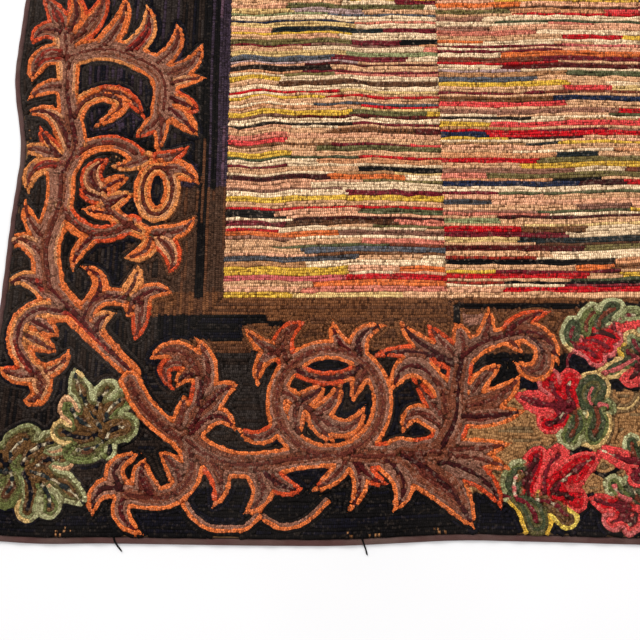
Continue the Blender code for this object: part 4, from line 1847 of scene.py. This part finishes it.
def grid_sheet(name, inset, low, high, steps_x, steps_y):
    """A closed flat sheet, its top following the floor wave and its rim the uneven edge."""
    u, v = np.meshgrid(np.linspace(-1, 1, steps_x + 1), np.linspace(-1, 1, steps_y + 1), indexing="ij")
    x, y = u * (HALF_WIDTH - inset), v * (HALF_LENGTH - inset)
    for _ in range(3):
        x = u * np.where(u < 0, edge_line("left", y, inset), edge_line("right", y, inset))
        y = v * np.where(v < 0, edge_line("front", x, inset), edge_line("back", x, inset))
    wave = floor_wave(1000 * x, 1000 * y)
    top = np.stack((x - CENTRE[0], y - CENTRE[1], high + wave), axis=-1).reshape(-1, 3)
    under = top.copy()
    to_edge = inset + np.minimum((1 - abs(u)) * HALF_WIDTH, (1 - abs(v)) * HALF_LENGTH)
    under[:, 2] = low(to_edge.ravel(), wave.ravel())
    wide = steps_y + 1
    faces = [(i * wide + j, (i + 1) * wide + j, (i + 1) * wide + j + 1, i * wide + j + 1)
             for i in range(steps_x) for j in range(steps_y)]
    count = len(top)
    rim = ([(i, 0) for i in range(steps_x)] + [(steps_x, j) for j in range(steps_y)]
           + [(i, steps_y) for i in range(steps_x, 0, -1)] + [(0, j) for j in range(steps_y, 0, -1)])
    ids = [i * wide + j for i, j in rim]
    walls = [(b, b + count, a + count, a) for a, b in zip(ids, ids[1:] + ids[:1])]
    below = [tuple(count + k for k in reversed(face)) for face in faces]
    mesh = bpy.data.meshes.new(name)
    mesh.from_pydata(np.vstack((top, under)).tolist(), [], faces + below + walls)
    mesh.validate()
    planar_map(mesh)
    return add_object(name, mesh)


def under_height(to_edge, wave):
    """Height of the underside: near the floor, but over the tape's flap along the edge."""
    return np.where(to_edge < FLAP_REACH, UNDER_STEP, UNDER_REST) + 0.5 * wave


foundation = grid_sheet("woven_ground", FOUNDATION_INSET, under_height, FOUNDATION_TOP, *GROUND_CELLS)
foundation.data.materials.append(burlap)
print("woven ground", triangles(foundation), "triangles")

# %% The binding tape
TAPE_STATION = 0.008
PUCKER = 0.0005
PUCKER_WAVE = 0.0105


def tape_section():
    """Tape folded over the raw edge, with its flat flap under the rug: inset, height."""
    flap = TAPE_SHOWS + TAPE_UNDER
    half = TAPE_SHOWS / 2
    angles = np.radians(np.linspace(0, 150, 9))
    rise = TAPE_ROLL - TAPE_THICK
    fold = [(half * (1 - math.cos(a)), TAPE_THICK + rise * math.sin(a)) for a in angles]
    return [(flap, 0.0), (TAPE_THICK / 2, 0.0), *fold, (TAPE_SHOWS, TAPE_THICK + rise / 3),
            (TAPE_SHOWS, TAPE_THICK), (flap, TAPE_THICK)]


def build_tape(side):
    """One length of tape, mitred at both ends, with puckers between its stitches."""
    lines = []
    for inset, height in tape_section():
        points = side_points(side, inset, TAPE_STATION, trim=SEWN_GAP)
        run = lengths(points)
        puckers = (np.sin(2 * math.pi * run / PUCKER_WAVE + np.sin(run * 23))
                   + 0.6 * np.sin(run * 117 + 1.3))
        soft = height > 1.5 * TAPE_THICK
        z = height + soft * (PUCKER * puckers + floor_wave(*(1000 * points.T)) * 0.6)
        lines.append(np.column_stack((points - CENTRE, z)))
    count = len(lines[0])
    rings = len(lines)
    faces = []
    for ring_number in range(rings):
        lower, upper = ring_number * count, (ring_number + 1) % rings * count
        faces += [(lower + i, lower + i + 1, upper + i + 1, upper + i) for i in range(count - 1)]
    faces.append(tuple(ring_number * count for ring_number in reversed(range(rings))))
    faces.append(tuple(ring_number * count + count - 1 for ring_number in range(rings)))
    mesh = bpy.data.meshes.new(f"tape_{side}")
    mesh.from_pydata(np.vstack(lines).tolist(), [], faces)
    mesh.validate()
    for face in mesh.polygons[:-2]:
        face.use_smooth = True
    mesh.materials.append(tape_cotton)
    made = add_object(f"tape_{side}", mesh)
    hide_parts(f"binding_{side}")
    return made


tapes = [build_tape(side) for side in SIDES]
print("tapes", [triangles(tape) for tape in tapes], "triangles")

# %% [markdown]
# ## The floor, and the rug's one body
# Every piece rides on the rug's one body. The woven ground stands for the imported rug, and the rows
# belong to it.

# %% Floor and declarations
floor_mesh = bpy.data.meshes.new("studio_floor")
half_floor = FLOOR_SIZE / 2
floor_corners = [(x * half_floor, y * half_floor, 0) for x, y in ((-1, -1), (1, -1), (1, 1), (-1, 1))]
floor_mesh.from_pydata(floor_corners, [], [(0, 1, 2, 3)])
floor = add_object("studio_floor", floor_mesh)
floor_paint, floor_tree, floor_shader = start_material("pale_floor")
floor_cloud = noise(floor_tree, 3.0, 2.0)
floor_mask = remap(floor_tree, floor_cloud, 0.3, 0.7, 0.0, 1.0)
floor_colour = tinted(floor_tree, "MIX", floor_mask, (0.84, 0.84, 0.84), (0.87, 0.87, 0.87))
floor_tree.links.new(floor_colour, floor_shader.inputs["Base Color"])
floor_shader.inputs["Roughness"].default_value = 0.9
floor.data.materials.append(floor_paint)
floor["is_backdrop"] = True

for piece in [foundation, *tapes, *row_pieces]:
    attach(piece, "root")
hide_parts("rug")

# %% Sizes and finish
VISUAL_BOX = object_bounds()
print("visual box", [[round(float(v), 4) for v in corner] for corner in VISUAL_BOX],
      round(time.time() - STARTED, 1), "s")
